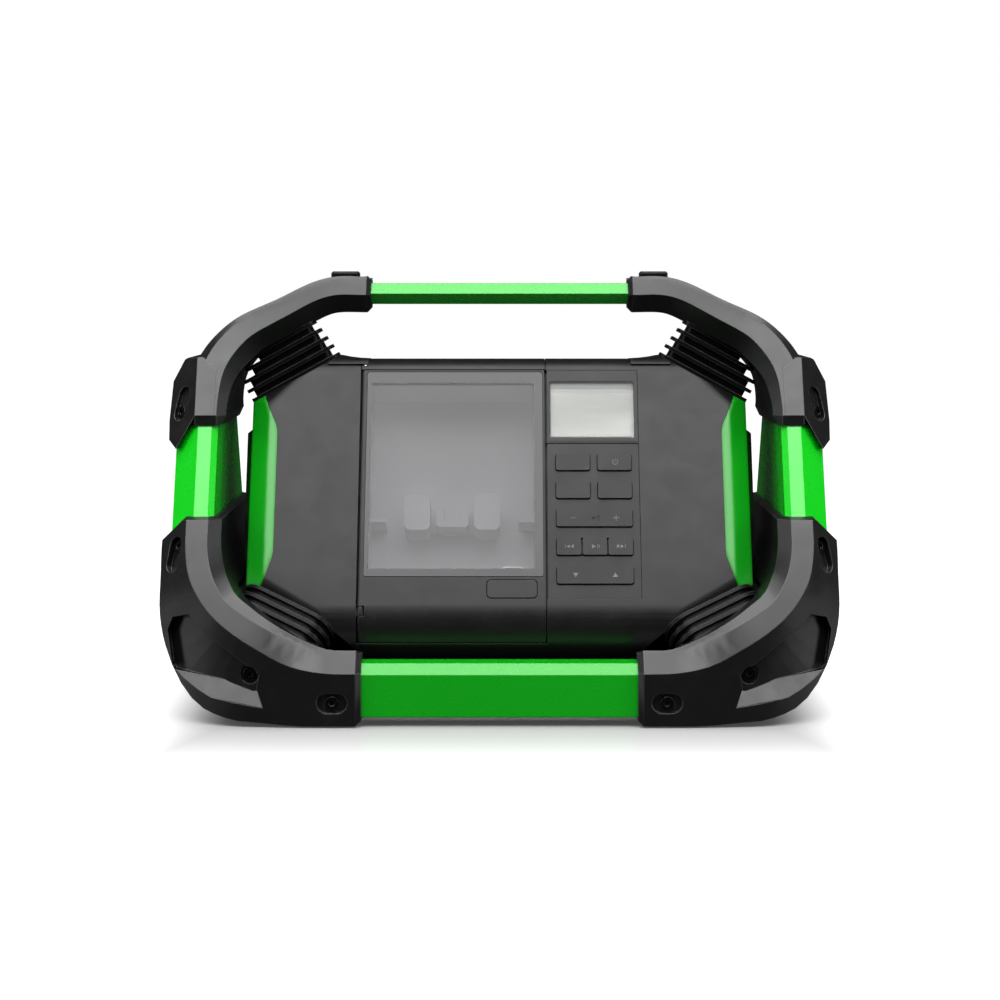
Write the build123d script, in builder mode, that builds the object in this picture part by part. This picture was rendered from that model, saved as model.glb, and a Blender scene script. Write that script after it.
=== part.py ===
"""Jobsite radio: an A-shaped roll cage around a splash-proof speaker body.

Millimetres, +Z up, +X to the right, the front faces -Y. Heights in this file
are measured from a datum just above the floor, and save() lifts every piece by
it, so the written parts have their origin on the floor under the middle.
"""

import os
from math import atan, cos, hypot, radians, sin, tan

from build123d import *

os.makedirs("parts", exist_ok=True)

# ---------------------------------------------------------------- driving dimensions

# The cage leans in at the front and the rear, above a knee.
lean = 0.48  # setback for each millimetre of height
knee_height = 56.0
datum_height = 2.2  # of the zero of all heights here, above the floor
bar_half_depth = 132.0  # green bars, at the knee
bumper_proud = 5.0  # bumpers in front of the bars
front_limit = 140.0  # half depth of the lower bumpers' upright front

fit_gap = 0.3  # between a bar and its socket
seam_gap = 0.6  # round a door, a cover or a panel
key_gap = 0.4  # round a key

# Aluminium bars
bar_wall = 2.5
socket_depth = 14.0
bar_socket_depth = 26.0

handle_height = 298.3  # middle of the handle
handle_half_depth = 15.8
handle_half_height = 7.7
handle_exposed = 190.0  # length between the bumpers


bottom_bar_low = 4.7
bottom_bar_high = 41.7
bottom_bar_bevel = 7.0
bottom_bar_depth = 24.0
bottom_bar_front = 135.0
bottom_bar_exposed = 193.2

# Body
body_half_depth = 112.0  # at the knee
body_top = 249.6
body_bottom = 29.0
body_half_width = 182.0
flank_width = 13.5  # of the 45 degree flanks, in X
shoulder_inset = 57.7  # from the side to where the top corner starts
shoulder_angle = 28.5  # slope of the corners, under the upper bumpers
hip_height = 90.0  # where the lower corners start
toe_half_width = 120.0
toe_height = 50.0
top_radius = 17.0
belly_radius = 35.0
wall = 3.0
ring_thickness = 4.0
backing_depth = 9.0  # thick rim behind the door and the panels
lip_height = 2.9  # the corners' upper ends stand above the top

# Side guards, outside the body
guard_gap = 21.7  # between body and guard
guard_inner = body_half_width + guard_gap
guard_nose_inner = guard_inner + 4.2
guard_nose_outer = guard_nose_inner + 9.8
guard_outer = guard_nose_outer + 17.3
guard_low = 141.0  # exposed from here
guard_high = 204.0  # to here

# Door, on the leaned front: across and along the slope from the knee
door_left = -101.5
door_right = 33.0
door_low = 0.7
door_high = 206.6
door_thickness = 5.0
door_pin_radius = 1.2
pane_low = 46.2
pane_margin = 4.2  # on the hinge side
pane_edge = 1.4  # on the other side and above
pane_thickness = 2.0
clear_left = -94.1
clear_right = 25.3
clear_low = 52.6
clear_high = 196.4
latch_width = 35.6
latch_height = 13.4
latch_place = (8.9, 37.3)
latch_travel = 1.5

# Controls, right of the door
panel_left = 34.6
panel_right = 101.5
bezel_low = 150.0
bezel_high = 206.6
keypad_low = 29.8
keypad_high = 148.8
panel_thickness = 4.0
display_left = 36.5
display_right = 98.5
display_low = 153.1
display_high = 197.4
key_field_left = 41.0
key_field_right = 95.8
key_height = 12.8
key_pitch = 21.6
key_first_row = 133.8
key_column_gap = 5.6
key_slit = 0.8
key_proud = 1.0
mat_setback = 0.6
key_flange = 1.0

# Storage tub behind the door
tub_wall = 2.0
tub_left = -97.0
tub_right = 28.0
tub_low = 48.0
tub_high = 201.0
tub_depth = 46.0
tub_flange = 3.5

# Speakers
side_speaker_height = 145.0
side_speaker_radius = 34.0
side_speaker_depth = 34.0
woofer_place = (-50.0, 105.0)
woofer_radius = 46.0
woofer_depth = 42.0

# Battery, behind a cover on the leaned rear
battery_left = 48.0
battery_right = 116.0
battery_low = 34.0
battery_high = 96.0
battery_length = 64.0
cover_margin = 4.0
cover_thickness = 4.0
cover_pin_radius = 1.2

# Elastic mounts between body and cage
plate_thickness = 2.6
plate_pitch = 7.37
upper_mount_half_depth = 15.0
upper_mount_inner = -29.5  # inner end of the first plate, from the middle of the mount
upper_mount_outer = (43.0, 43.0, 42.0, 36.5, 28.0)  # outer ends, shorter where the bumper bends
lower_mount_length = 74.0
lower_mount_width = 38.0
lower_mount_plates = 4
lower_mount_pitch = 7.0

# Fasteners
bolt_radius = 4.6
bolt_head = 3.0
bolt_socket = 2.4
shank_radius = 2.6
shank_length = 12.0
shank_gap = 0.15
recess_depth = 4.5
guard_recess_depth = 3.2  # over the guards, whose tubes lie closer

# ---------------------------------------------------------------- worked out from them

slope = atan(lean)
rise = cos(slope)  # height gained along the slope
bumper_half_depth = bar_half_depth + bumper_proud
face_half_width = body_half_width - flank_width
shoulder_half_width = body_half_width - shoulder_inset
front_lean = (0, lean, 1)
rear_lean = (0, -lean, 1)

face_plane = Plane(origin=(0, -body_half_depth, knee_height), x_dir=(1, 0, 0), z_dir=(0, -1, lean))
back_plane = Plane(origin=(0, body_half_depth, knee_height), x_dir=(-1, 0, 0), z_dir=(0, 1, lean))


def half_depth(at_knee, height):
    """Half depth, at a height, of a form that has its half depth at the knee."""
    return at_knee - (height - knee_height) * lean


def save(piece, name):
    """Label a finished piece, lift it onto the floor and write it."""
    placed = Pos(0, 0, datum_height) * piece.part
    placed.label = name
    export_step(placed, f"parts/{name}.step")


def save_pair(piece, name):
    """Write a right-hand piece and its mirror image."""
    save(piece, f"{name}_right")
    with BuildPart() as twin:
        mirror(piece.part, about=Plane.YZ)
    save(twin, f"{name}_left")


def spread(low, high):
    """Middle and length of a range."""
    return (low + high) / 2, high - low


def face_block(plane, left, right, low, high, top, bottom, radius=0.0):
    """Block on a leaned face, between two depths behind it (a negative depth is proud)."""
    middle_x, width = spread(left, right)
    middle_y, height = spread(low, high)
    with BuildPart() as block:
        with BuildSketch(plane.offset(-top)):
            with Locations((middle_x, middle_y)):
                if radius > 0:
                    RectangleRounded(width, height, radius)
                else:
                    Rectangle(width, height)
        extrude(amount=top - bottom)
    return block.part


# ---------------------------------------------------------------- side guards


def guard_form(grow, low, high):
    """Deep tapered tube of a side guard, grown on every side."""
    knee_y = half_depth(bar_half_depth, 0) + grow
    outline = [
        (guard_inner - grow, knee_y + (guard_inner - guard_nose_inner)),
        (guard_nose_inner - grow * 0.4, knee_y),
        (guard_nose_outer + grow * 0.4, knee_y),
        (guard_outer + grow, knee_y - (guard_outer - guard_nose_outer)),
    ]
    with BuildPart() as form:
        for side, direction in ((-1, front_lean), (1, rear_lean)):
            with BuildSketch():
                with BuildLine():
                    Polyline(
                        *[(x, side * y) for x, y in outline],
                        (guard_outer + grow, -side * knee_y),
                        (guard_inner - grow, -side * knee_y),
                        close=True,
                    )
                make_face()
            keep = Mode.ADD if side < 0 else Mode.INTERSECT
            extrude(amount=handle_height / rise, dir=direction, mode=keep)
        split(bisect_by=Plane.XY.offset(low), keep=Keep.TOP)
        split(bisect_by=Plane.XY.offset(high), keep=Keep.BOTTOM)
    return form.part


# ---------------------------------------------------------------- bumpers


def bumper_section(x, height, angle, face, flank, chamfer_width, drops, shrink=0.0):
    """Cross-section of a bumper, on a plane across its run, as (plane, points).

    The ridge is at x and height. The angle turns outward from up (0) to the side
    (90) and down (180). Face and flank lie outside the ridge, the chamfer inside it.
    """
    ridge_drop, face_drop, flank_drop = drops
    out = (sin(radians(angle)), cos(radians(angle)))
    face_height = height + face * out[1]
    ridge_y = half_depth(bumper_half_depth, height) - ridge_drop
    face_y = min(half_depth(bumper_half_depth, face_height), front_limit) - face_drop
    plane = Plane(origin=(x, 0, height), x_dir=(out[0], 0, out[1]), z_dir=(out[1], 0, -out[0]))
    half = [
        (shrink - chamfer_width, ridge_y - chamfer_width - shrink * 0.4),
        (0, ridge_y - shrink),
        (face, face_y - shrink),
        (face + flank - shrink, face_y - flank_drop - shrink * 0.4),
    ]
    return plane, half + [(u, -v) for u, v in reversed(half)]


def bumper_loft(sections, straight=False):
    """Solid through a row of cross-sections."""
    with BuildPart() as run:
        for plane, points in sections:
            with BuildSketch(plane):
                with BuildLine():
                    Polyline(*points, close=True)
                make_face()
        loft(ruled=straight)
    return run.part


station_steps = 3


def between(low, high, span, start, end, t):
    """Value a fraction t along a cubic from low to high, with a slope at each end."""
    blend = t * t * (3 - 2 * t)
    return low + (high - low) * blend + span * t * (1 - t) * (start * (1 - t) - end * t)


def curve(stations):
    """The same stations with more of them in between, on smooth curves."""
    rows = [(*station[:6], *station[6]) for station in stations]
    pairs = list(zip(rows, rows[1:]))
    spans = [hypot(high[0] - low[0], high[1] - low[1]) for low, high in pairs]
    chords = [[(b - a) / span for a, b in zip(low, high)] for (low, high), span in zip(pairs, spans)]
    slopes = [chords[0]]
    for index in range(1, len(chords)):
        before, after = spans[index - 1 : index + 1]
        slopes.append(
            [
                (a * after + b * before) / (before + after)
                for a, b in zip(chords[index - 1], chords[index])
            ]
        )
    slopes.append(chords[-1])
    dense = [stations[0]]
    for index, (low, high) in enumerate(pairs):
        for step in range(1, station_steps + 1):
            row = [
                between(a, b, spans[index], start, end, step / station_steps)
                for a, b, start, end in zip(low, high, slopes[index], slopes[index + 1])
            ]
            dense.append((*row[:6], tuple(row[6:])))
    return dense


collar_shrink = 3.6
upper_collar_length = 7.2
lower_collar_length = 2.0
handle_collar_length = 3.5
bar_collar_length = 4.0
handle_end = handle_exposed / 2
bar_end = bottom_bar_exposed / 2

# Upper bumper: x, height, angle, face, flank, chamfer, drops
upper_stations = [
    (handle_end + handle_collar_length, 297.6, 0, 12.2, 1.4, 13.2, (0, 3.0, 1.4)),
    (handle_end + 23.0, 297.6, 0, 12.2, 1.4, 13.2, (0, 3.0, 1.4)),
    (guard_inner - 72.7, 295.0, 15, 12.0, 1.5, 13.2, (0, 2.6, 1.5)),
    (guard_inner - 57.7, 288.0, 27, 12.0, 1.7, 13.2, (0, 2.0, 1.7)),
    (guard_inner - 35.7, 276.0, 29, 13.2, 2.0, 13.0, (0, 1.6, 2.0)),
    (guard_inner - 19.7, 266.0, 38, 14.2, 3.0, 12.4, (0, 1.0, 3.0)),
    (guard_inner - 9.2, 254.0, 52, 15.0, 4.5, 11.4, (0, 0.5, 4.5)),
    (guard_inner - 2.9, 242.0, 68, 15.3, 6.0, 9.4, (0, 0, 6.0)),
    (guard_inner - 0.1, 228.0, 82, 15.4, 7.0, 7.4, (0, 0, 7.0)),
    (guard_inner + 0.8, 216.5, 89.5, 15.4, 7.0, 6.5, (0, 0, 7.0)),
    (guard_inner + 0.8, guard_high + upper_collar_length, 90, 15.4, 7.0, 6.5, (0, 0, 7.0)),
]
# Lower bumper, the same from the guard round to the bottom bar
lower_corners = [
    (guard_inner + 3.0, guard_low - lower_collar_length, 90, 15.3, 18.8, 8.8, (0, 0, 18.8)),
    (guard_inner + 2.7, 119.0, 92, 15.2, 20.0, 8.8, (0, 0, 20.0)),
    (guard_inner - 1.3, 102.0, 104, 15.4, 25.0, 8.6, (0, 0, 20.6)),
    (guard_inner - 5.7, 93.2, 116, 14.4, 33.8, 8.2, (0, 0, 20.8)),
    (guard_inner - 10.9, 85.5, 128, 13.4, 42.6, 7.6, (0, 0, 20.0)),
    (guard_inner - 25.4, 75.1, 147, 14.3, 56.2, 6.4, (0, 0, 12.0)),
    (guard_inner - 43.3, 65.3, 153, 14.8, 54.2, 4.8, (0, 0, 6.0)),
    (bar_end + 43.0, 55.4, 158, 15.4, 43.6, 3.4, (6.0, 0, 2.5)),
    (bar_end + 24.9, 49.4, 174, 12.8, 37.9, 2.2, (11.0, 0, 0.8)),
    (bar_end + bar_collar_length, 48.6, 180, 12.5, 37.1, 2.0, (12.0, 0, 0.8)),
]
lower_stations = curve(lower_corners)


def bumper_run(stations, low_end, high_end, straight=False):
    """Whole bumper: the curved run and a short bevelled collar at each end."""
    sections = [bumper_section(*station) for station in stations]
    first = list(stations[0])
    first[0:2] = low_end
    last = list(stations[-1])
    last[0:2] = high_end
    with BuildPart() as run:
        add(bumper_loft(sections, straight))
        add(bumper_loft([bumper_section(*first, shrink=collar_shrink), sections[0]], True))
        add(bumper_loft([sections[-1], bumper_section(*last, shrink=collar_shrink)], True))
    return run.part


# Outer pad of the upper bumper, over the end of the guard
pad_proud = 0.4
pad_outline = [
    (guard_inner + 2.3, guard_high + 7.0),
    (guard_inner + 16.2, guard_high + 7.0),
    (guard_inner + 30.6, 186.8),
    (guard_inner + 36.7, 192.8),
    (guard_inner + 37.2, 206.6),
    (guard_inner + 35.5, 234.4),
    (guard_inner + 26.8, 250.3),
    (guard_inner + 24.3, 251.8),
    (guard_inner + 12.3, 252.4),
    (guard_inner + 2.3, 244.0),
]


def upper_pad():
    """Block with 45 degree front and rear flanks that carries the guard bolts."""
    edge_x = upper_stations[-1][0] + upper_stations[-1][3]
    knee_y = half_depth(bumper_half_depth, 0) + pad_proud
    far = front_limit * 2
    with BuildPart() as pad:
        with BuildSketch(Plane.XZ):
            with BuildLine():
                Polyline(*pad_outline, close=True)
            make_face()
        extrude(amount=front_limit, both=True)
        for side, direction in ((-1, front_lean), (1, rear_lean)):
            with BuildSketch():
                with BuildLine():
                    Polyline(
                        (edge_x - 30, side * knee_y),
                        (edge_x, side * knee_y),
                        (edge_x + 30, side * (knee_y - 30)),
                        (edge_x + 30, -side * far),
                        (edge_x - 30, -side * far),
                        close=True,
                    )
                make_face()
            extrude(amount=handle_height / rise, dir=direction, mode=Mode.INTERSECT)
    return pad.part


# ---------------------------------------------------------------- top handle and bottom bars


def handle_form(grow, length):
    """Flattened hexagonal bar along X."""
    with BuildPart() as form:
        with BuildSketch(Plane.YZ):
            with BuildLine():
                Polyline(*hexagon_points(grow), close=True)
            make_face()
        extrude(amount=length / 2, both=True)
    return form.part


def hexagon_points(grow):
    """Section of the handle: flat above and below, a ridge to the front and the rear."""
    ridge = handle_half_depth + grow
    flat = handle_half_height + grow
    shoulder = ridge - flat
    return [
        (-ridge, handle_height),
        (-shoulder, handle_height + flat),
        (shoulder, handle_height + flat),
        (ridge, handle_height),
        (shoulder, handle_height - flat),
        (-shoulder, handle_height - flat),
    ]


def bottom_bar_form(grow, length):
    """Front bottom bar along X, bevelled along its upper front edge."""
    front = bottom_bar_front + grow
    back = bottom_bar_front - bottom_bar_depth - grow
    with BuildPart() as form:
        with BuildSketch(Plane.YZ):
            with BuildLine():
                Polyline(
                    (-front, bottom_bar_low - grow),
                    (-front, bottom_bar_high - bottom_bar_bevel + grow * 0.4),
                    (-front + bottom_bar_bevel + grow * 0.6, bottom_bar_high + grow),
                    (-back, bottom_bar_high + grow),
                    (-back, bottom_bar_low - grow),
                    close=True,
                )
            make_face()
        extrude(amount=length / 2, both=True)
    return form.part


handle_length = handle_exposed + 2 * socket_depth
with BuildPart() as top_handle_bar:
    add(handle_form(0, handle_length))
    add(handle_form(-bar_wall, handle_length), mode=Mode.SUBTRACT)
save(top_handle_bar, "top_handle_bar")

bottom_bar_length = bottom_bar_exposed + 2 * bar_socket_depth

# ---------------------------------------------------------------- body form, used by all that fits it

shoulder_drop = (body_half_width - shoulder_half_width) * tan(radians(shoulder_angle))
hip_normal = (0.503, -0.503, -0.704)  # faces the lower mounts, front right
hip_origin = (body_half_width - 24.0, -98.6, 85.0)
mirror_signs = [(1, 1), (-1, 1), (1, -1), (-1, -1)]


def flank_plane(side_x, side_y, inset):
    """Plane of a 45 degree flank between a leaned face and a side."""
    origin = (side_x * face_half_width, -side_y * body_half_depth, knee_height)
    plane = Plane(origin=origin, z_dir=(side_x, -side_y, lean))
    return plane.offset(-inset)


# Soft bends of the leaned faces: towards the corners under the upper bumpers, towards the
# lower mounts and into the flanks. Two points (x, height) on the face, total turn, radius
face_bends = [
    ((body_half_width - 54.0, 247.0), (body_half_width - 15.0, 212.6), 43.0, 18.0),
    ((body_half_width - 16.0, 99.0), (body_half_width - 60.0, 75.0), 35.0, 15.0),
    ((face_half_width - 2.0, 240.0), (face_half_width - 2.0, 60.0), 30.0, 7.0),
]
bend_steps = 3


def bend_planes(side_x, side_y, inset):
    """Planes that round a leaned face along its bends, each touching the bend's cylinder."""
    outward = Vector(0, -rise, lean * rise)
    planes = []
    for start, end, turn, radius in face_bends:
        low, high = (Vector(x, -half_depth(body_half_depth, z), z) for x, z in (end, start))
        along = (high - low).normalized()
        sideways = along.cross(outward)
        if sideways.X < 0:
            sideways = sideways * -1
        axis = low - outward * radius
        for step in range(1, bend_steps + 1):
            angle = radians(turn * step / bend_steps)
            normal = outward * cos(angle) + sideways * sin(angle)
            point = axis + normal * radius
            plane = Plane(
                origin=(side_x * point.X, side_y * point.Y, point.Z),
                z_dir=(side_x * normal.X, side_y * normal.Y, normal.Z),
            )
            planes.append(plane.offset(-inset))
    return planes


def hip_plane(side_x, side_y, inset):
    """Plane of a lower corner, which an elastic mount presses on."""
    origin = (side_x * hip_origin[0], side_y * hip_origin[1], hip_origin[2])
    normal = (side_x * hip_normal[0], side_y * hip_normal[1], hip_normal[2])
    plane = Plane(origin=origin, z_dir=normal)
    return plane.offset(-inset)


def body_form(inset, top_height=body_top):
    """Outer form of the body up to a height, shrunk on every side by the inset."""
    shoulder_end = shoulder_half_width - (top_height - body_top) / tan(radians(shoulder_angle))
    half = [
        (shoulder_end, top_height),
        (body_half_width, body_top - shoulder_drop),
        (body_half_width, hip_height),
        (toe_half_width, toe_height),
        (toe_half_width - 6, body_bottom),
    ]
    base = half_depth(body_half_depth, body_bottom)
    top = half_depth(body_half_depth, top_height)
    with BuildPart() as form:
        with BuildSketch(Plane.XZ):
            with BuildLine():
                Polyline(*half, *[(-x, z) for x, z in reversed(half)], close=True)
            make_face()
            if inset:
                offset(amount=-inset, kind=Kind.INTERSECTION)
        extrude(amount=front_limit, both=True)
        with BuildSketch(Plane.YZ):
            with BuildLine():
                FilletPolyline(
                    (-base, body_bottom),
                    (-top, top_height),
                    (top, top_height),
                    (base, body_bottom),
                    radius=[belly_radius, top_radius, top_radius, belly_radius],
                    close=True,
                )
            make_face()
            if inset:
                offset(amount=-inset)
        extrude(amount=body_half_width + 10, both=True, mode=Mode.INTERSECT)
        for side_x, side_y in mirror_signs:
            split(bisect_by=flank_plane(side_x, side_y, inset), keep=Keep.BOTTOM)
            split(bisect_by=hip_plane(side_x, side_y, inset), keep=Keep.BOTTOM)
            for plane in bend_planes(side_x, side_y, inset):
                split(bisect_by=plane, keep=Keep.BOTTOM)
    return form.part


body_outer = body_form(0)
skin_reach = 32.0  # deeper than the curve of the belly behind the leaned face


def body_skin(depth, plane, left, right, low, high):
    """Skin of the body, of a depth, within a window seen square to a leaned face."""
    with BuildPart() as skin:
        add(body_outer)
        add(body_form(depth), mode=Mode.SUBTRACT)
        add(face_block(plane, left, right, low, high, -5, skin_reach), mode=Mode.INTERSECT)
    return skin.part


# ---------------------------------------------------------------- elastic mounts

upper_tilt = radians(shoulder_angle)
upper_mount_middle = 23.9  # from the corner of the body top, down the slope
upper_mount_plane = Plane(
    origin=(
        shoulder_half_width + upper_mount_middle * cos(upper_tilt),
        0,
        body_top - upper_mount_middle * sin(upper_tilt),
    ),
    x_dir=(cos(upper_tilt), 0, -sin(upper_tilt)),
    z_dir=(sin(upper_tilt), 0, cos(upper_tilt)),
)
upper_mount_plates = len(upper_mount_outer)
upper_mount_height = plate_pitch * (upper_mount_plates - 1) + plate_thickness
plate_round = 4.0
core_inset = 4.0
plate_taper = 1.0  # each plate is this much shorter than the one below, at the body end


def upper_plate_ends(index):
    """Ends of a plate, along the slope from the middle of the mount."""
    return upper_mount_inner + index * plate_taper, upper_mount_outer[index]


def upper_mount_slab(inner, outer, half_width, low, high):
    """Slab of the upper mount between two heights above the body."""
    middle, length = spread(inner, outer)
    with BuildPart() as slab:
        with BuildSketch(upper_mount_plane.offset(low)):
            with Locations((middle, 0)):
                RectangleRounded(length, 2 * half_width, plate_round)
        extrude(amount=high - low)
    return slab.part


with BuildPart() as damper_upper:
    for index in range(upper_mount_plates):
        base = index * plate_pitch
        inner, outer = upper_plate_ends(index)
        add(upper_mount_slab(inner, outer, upper_mount_half_depth, base, base + plate_thickness))
        if index > 0:
            add(
                upper_mount_slab(
                    inner + core_inset,
                    outer - core_inset,
                    upper_mount_half_depth - core_inset,
                    base - plate_pitch + plate_thickness,
                    base,
                )
            )
save_pair(damper_upper, "damper_upper")

lower_mount_tilt = (0.861, 0.365, 0.355)  # long side of the plates, outward
lower_mount_shift = (-9.0, -16.0)  # middle of the plates, from the edge of the corner
lower_mount_plane = Plane(origin=hip_origin, x_dir=lower_mount_tilt, z_dir=hip_normal)
lower_mount_height = lower_mount_pitch * (lower_mount_plates - 1) + plate_thickness
lower_mount_radius = 16.0


def lower_mount_slab(grow, low, high):
    """Slab of the lower mount between two distances from the body."""
    with BuildPart() as slab:
        with BuildSketch(lower_mount_plane.offset(low)):
            with Locations(lower_mount_shift):
                RectangleRounded(
                    lower_mount_length + 2 * grow,
                    lower_mount_width + 2 * grow,
                    lower_mount_radius + grow,
                )
        extrude(amount=high - low)
    return slab.part


with BuildPart() as damper_lower_front:
    add(lower_mount_slab(-core_inset, 0, lower_mount_height))
    for index in range(lower_mount_plates):
        base = index * lower_mount_pitch
        add(lower_mount_slab(0, base, base + plate_thickness))
save_pair(damper_lower_front, "damper_lower_front")

with BuildPart() as damper_lower_rear:
    mirror(damper_lower_front.part, about=Plane.XZ)
save_pair(damper_lower_rear, "damper_lower_rear")

# ---------------------------------------------------------------- bolts of the cage

guard_bolt_x = guard_outer - 4.4
upper_recess_height = 219.0
lower_recess_height = 114.5
recess_length = 26.0
recess_width = 12.6
recess_bolt_shift = 6.4  # the bolt sits at one end of its recess
bar_bolt_x = 116.8
bar_bolt_height = 15.4
bar_recess_length = 21.5
bar_recess_width = 14.3
pocket_bolt = (guard_inner - 28.7, 34.3)
pocket_depth = 8.0
pocket_recess_length = 14.0


def flank_seat(height, drop):
    """Plane on the 45 degree flank of the right front, at a recess, its Y up the lean."""
    edge_x = upper_stations[-1][0] + upper_stations[-1][3]
    y = -half_depth(bumper_half_depth, height) + (guard_bolt_x - edge_x)
    plane = Plane(origin=(guard_bolt_x, y, height), x_dir=(1, 1, 0), z_dir=(1, -1, lean))
    return plane.offset(-drop)


def shifted(plane, distance):
    """Plane moved along its own Y."""
    return Plane(origin=plane.from_local_coords((0, distance, 0)), x_dir=plane.x_dir, z_dir=plane.z_dir)


upper_seat = flank_seat(upper_recess_height, guard_recess_depth)
lower_seat = flank_seat(lower_recess_height, recess_depth)
bar_seat = Plane(
    origin=(bar_bolt_x, -front_limit + recess_depth, bar_bolt_height), x_dir=(1, 0, 0), z_dir=(0, -1, 0)
)
pocket_seat = Plane(
    origin=(pocket_bolt[0], -front_limit + 2 * pocket_depth, pocket_bolt[1]),
    x_dir=(1, 0, 0),
    z_dir=(0, -1, 0),
)
bolt_planes = [
    shifted(upper_seat, -recess_bolt_shift),
    shifted(lower_seat, recess_bolt_shift),
    bar_seat,
    pocket_seat,
]


def shanks(grow, head):
    """Right front bolts: a shank each, and a socket head if asked."""
    with BuildPart() as group:
        for plane in bolt_planes:
            with BuildSketch(plane):
                Circle(shank_radius + grow)
            extrude(amount=-shank_length)
            if head:
                with BuildSketch(plane):
                    Circle(bolt_radius)
                extrude(amount=bolt_head)
                with BuildSketch(plane.offset(bolt_head)):
                    RegularPolygon(bolt_socket, 6)
                extrude(amount=-bolt_head / 2, mode=Mode.SUBTRACT)
    return group.part


with BuildPart() as bumper_bolts:
    right_front = shanks(0, True)
    add(right_front)
    mirror(about=Plane.YZ)
    mirror(about=Plane.XZ)
save(bumper_bolts, "bumper_bolts")

# ---------------------------------------------------------------- finished bumpers

cap_places = (104.0, 125.0)
cap_half_width = 7.0
cap_seat = 308.4
cap_top = 314.8
cap_bevel = 1.4


def handle_cap(grow):
    """Rubber cap over the handle bolt of the right bumper."""
    middle, length = spread(*cap_places)
    with BuildPart() as cap:
        with BuildSketch(Plane.XY.offset(cap_seat)):
            with Locations((middle, 0)):
                RectangleRounded(length + 2 * grow, 2 * (cap_half_width + grow), 2.5)
        extrude(amount=cap_top - cap_seat)
        if not grow:
            chamfer(cap.faces().sort_by(Axis.Z)[-1].edges(), cap_bevel)
    return cap.part


with BuildPart() as handle_caps:
    add(handle_cap(0))
    mirror(about=Plane.YZ)
save(handle_caps, "handle_caps")


def recess(plane, length, width):
    """Slot-shaped recess for a bolt, with its floor on a plane."""
    with BuildPart() as slot:
        with BuildSketch(plane):
            SlotOverall(length, width, rotation=90 if plane is not bar_seat else 0)
        extrude(amount=4 * recess_depth)
    return slot.part


def both_ends(shape):
    """A cut at the front and its mirror image at the rear."""
    with BuildPart() as cuts:
        add(shape)
        mirror(about=Plane.XZ)
    return cuts.part


bolt_holes = both_ends(shanks(shank_gap, False))

with BuildPart() as upper_bumper:
    add(bumper_run(upper_stations, (handle_end, 297.6), (guard_inner + 0.8, guard_high)))
    add(upper_pad())
    add(guard_form(fit_gap, 0, guard_high + socket_depth), mode=Mode.SUBTRACT)
    add(handle_form(fit_gap, handle_length), mode=Mode.SUBTRACT)
    add(handle_cap(0.01), mode=Mode.SUBTRACT)
    add(both_ends(recess(upper_seat, recess_length, recess_width)), mode=Mode.SUBTRACT)
    add(bolt_holes, mode=Mode.SUBTRACT)
    seat_ends = upper_plate_ends(upper_mount_plates - 1)
    add(
        upper_mount_slab(
            seat_ends[0] - 0.5,
            seat_ends[1] + 0.5,
            upper_mount_half_depth + 0.5,
            upper_mount_height - 12,
            upper_mount_height,
        ),
        mode=Mode.SUBTRACT,
    )
save_pair(upper_bumper, "upper_bumper")

# Hollow between the arms of the lower bumper, round the body, and the outer front pockets
arm_reach = 168.0
arm_depth = 107.0
arm_fall = 5.6  # the top of the front arm falls away behind its ridge
body_clearance = 6.0
pocket_outline = [
    (guard_inner + 27.6, 71.5),
    (guard_inner + 15.0, 74.8),
    (guard_inner + 9.7, 68.2),
    (guard_inner - 8.4, 55.7),
    (guard_inner - 22.2, 45.3),
    (guard_inner - 36.2, 35.5),
    (guard_inner - 34.4, 25.7),
    (guard_inner - 38.6, 11.9),
    (guard_inner + 13.6, 19.8),
    (guard_inner + 27.5, 37.2),
    (guard_inner + 31.4, 62.3),
]
foot_thickness = 3.0
foot_proud = 1.0
foot_length = 46.0
foot_width = 22.0
foot_places = (guard_inner - 46.7, 100.0)
bumper_bottom = foot_proud - datum_height


def foot(grow):
    """Rubber foot under the right front corner."""
    with BuildPart() as pad:
        with BuildSketch(Plane.XY.offset(-datum_height)):
            with Locations((foot_places[0], -foot_places[1])):
                RectangleRounded(foot_width + 2 * grow, foot_length + 2 * grow, 5)
        extrude(amount=foot_thickness)
    return pad.part


with BuildPart() as foot_pads:
    add(foot(0))
    mirror(about=Plane.YZ)
    mirror(about=Plane.XZ)
save(foot_pads, "foot_pads")


def dug_stations():
    """Stations of the lower bumper with their outer front surface dug in by the pocket."""
    dug = []
    for x, height, angle, face, flank, chamfer_width, drops in lower_stations:
        deeper = (drops[0] + pocket_depth, drops[1] + pocket_depth, drops[2])
        dug.append((x, height, angle, face - 2, flank + 2, chamfer_width, deeper))
    return dug


with BuildPart() as pocket_core:
    add(bumper_loft([bumper_section(*station) for station in dug_stations()], True))

# Ramp up from the lower edge of the pocket to its floor
ramp_rise = 12.5
ramp_retreat = 12.5  # of the ramp over its length, with the outer surface
ramp_start, ramp_end = pocket_outline[7:9]
with BuildPart() as pocket_ramp:
    with BuildSketch(Plane.YZ.offset(ramp_start[0] - 5)):
        with BuildLine():
            Polyline(
                (-front_limit, ramp_start[1] - 3),
                (2 - front_limit, ramp_start[1] - 1),
                (2 - front_limit + pocket_depth, ramp_start[1] + ramp_rise),
                (0, ramp_start[1] + ramp_rise),
                (0, ramp_start[1] - 3),
                close=True,
            )
        make_face()
    run = (ramp_end[0] - ramp_start[0], ramp_retreat, ramp_end[1] - ramp_start[1])
    extrude(amount=90, dir=run)

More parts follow.
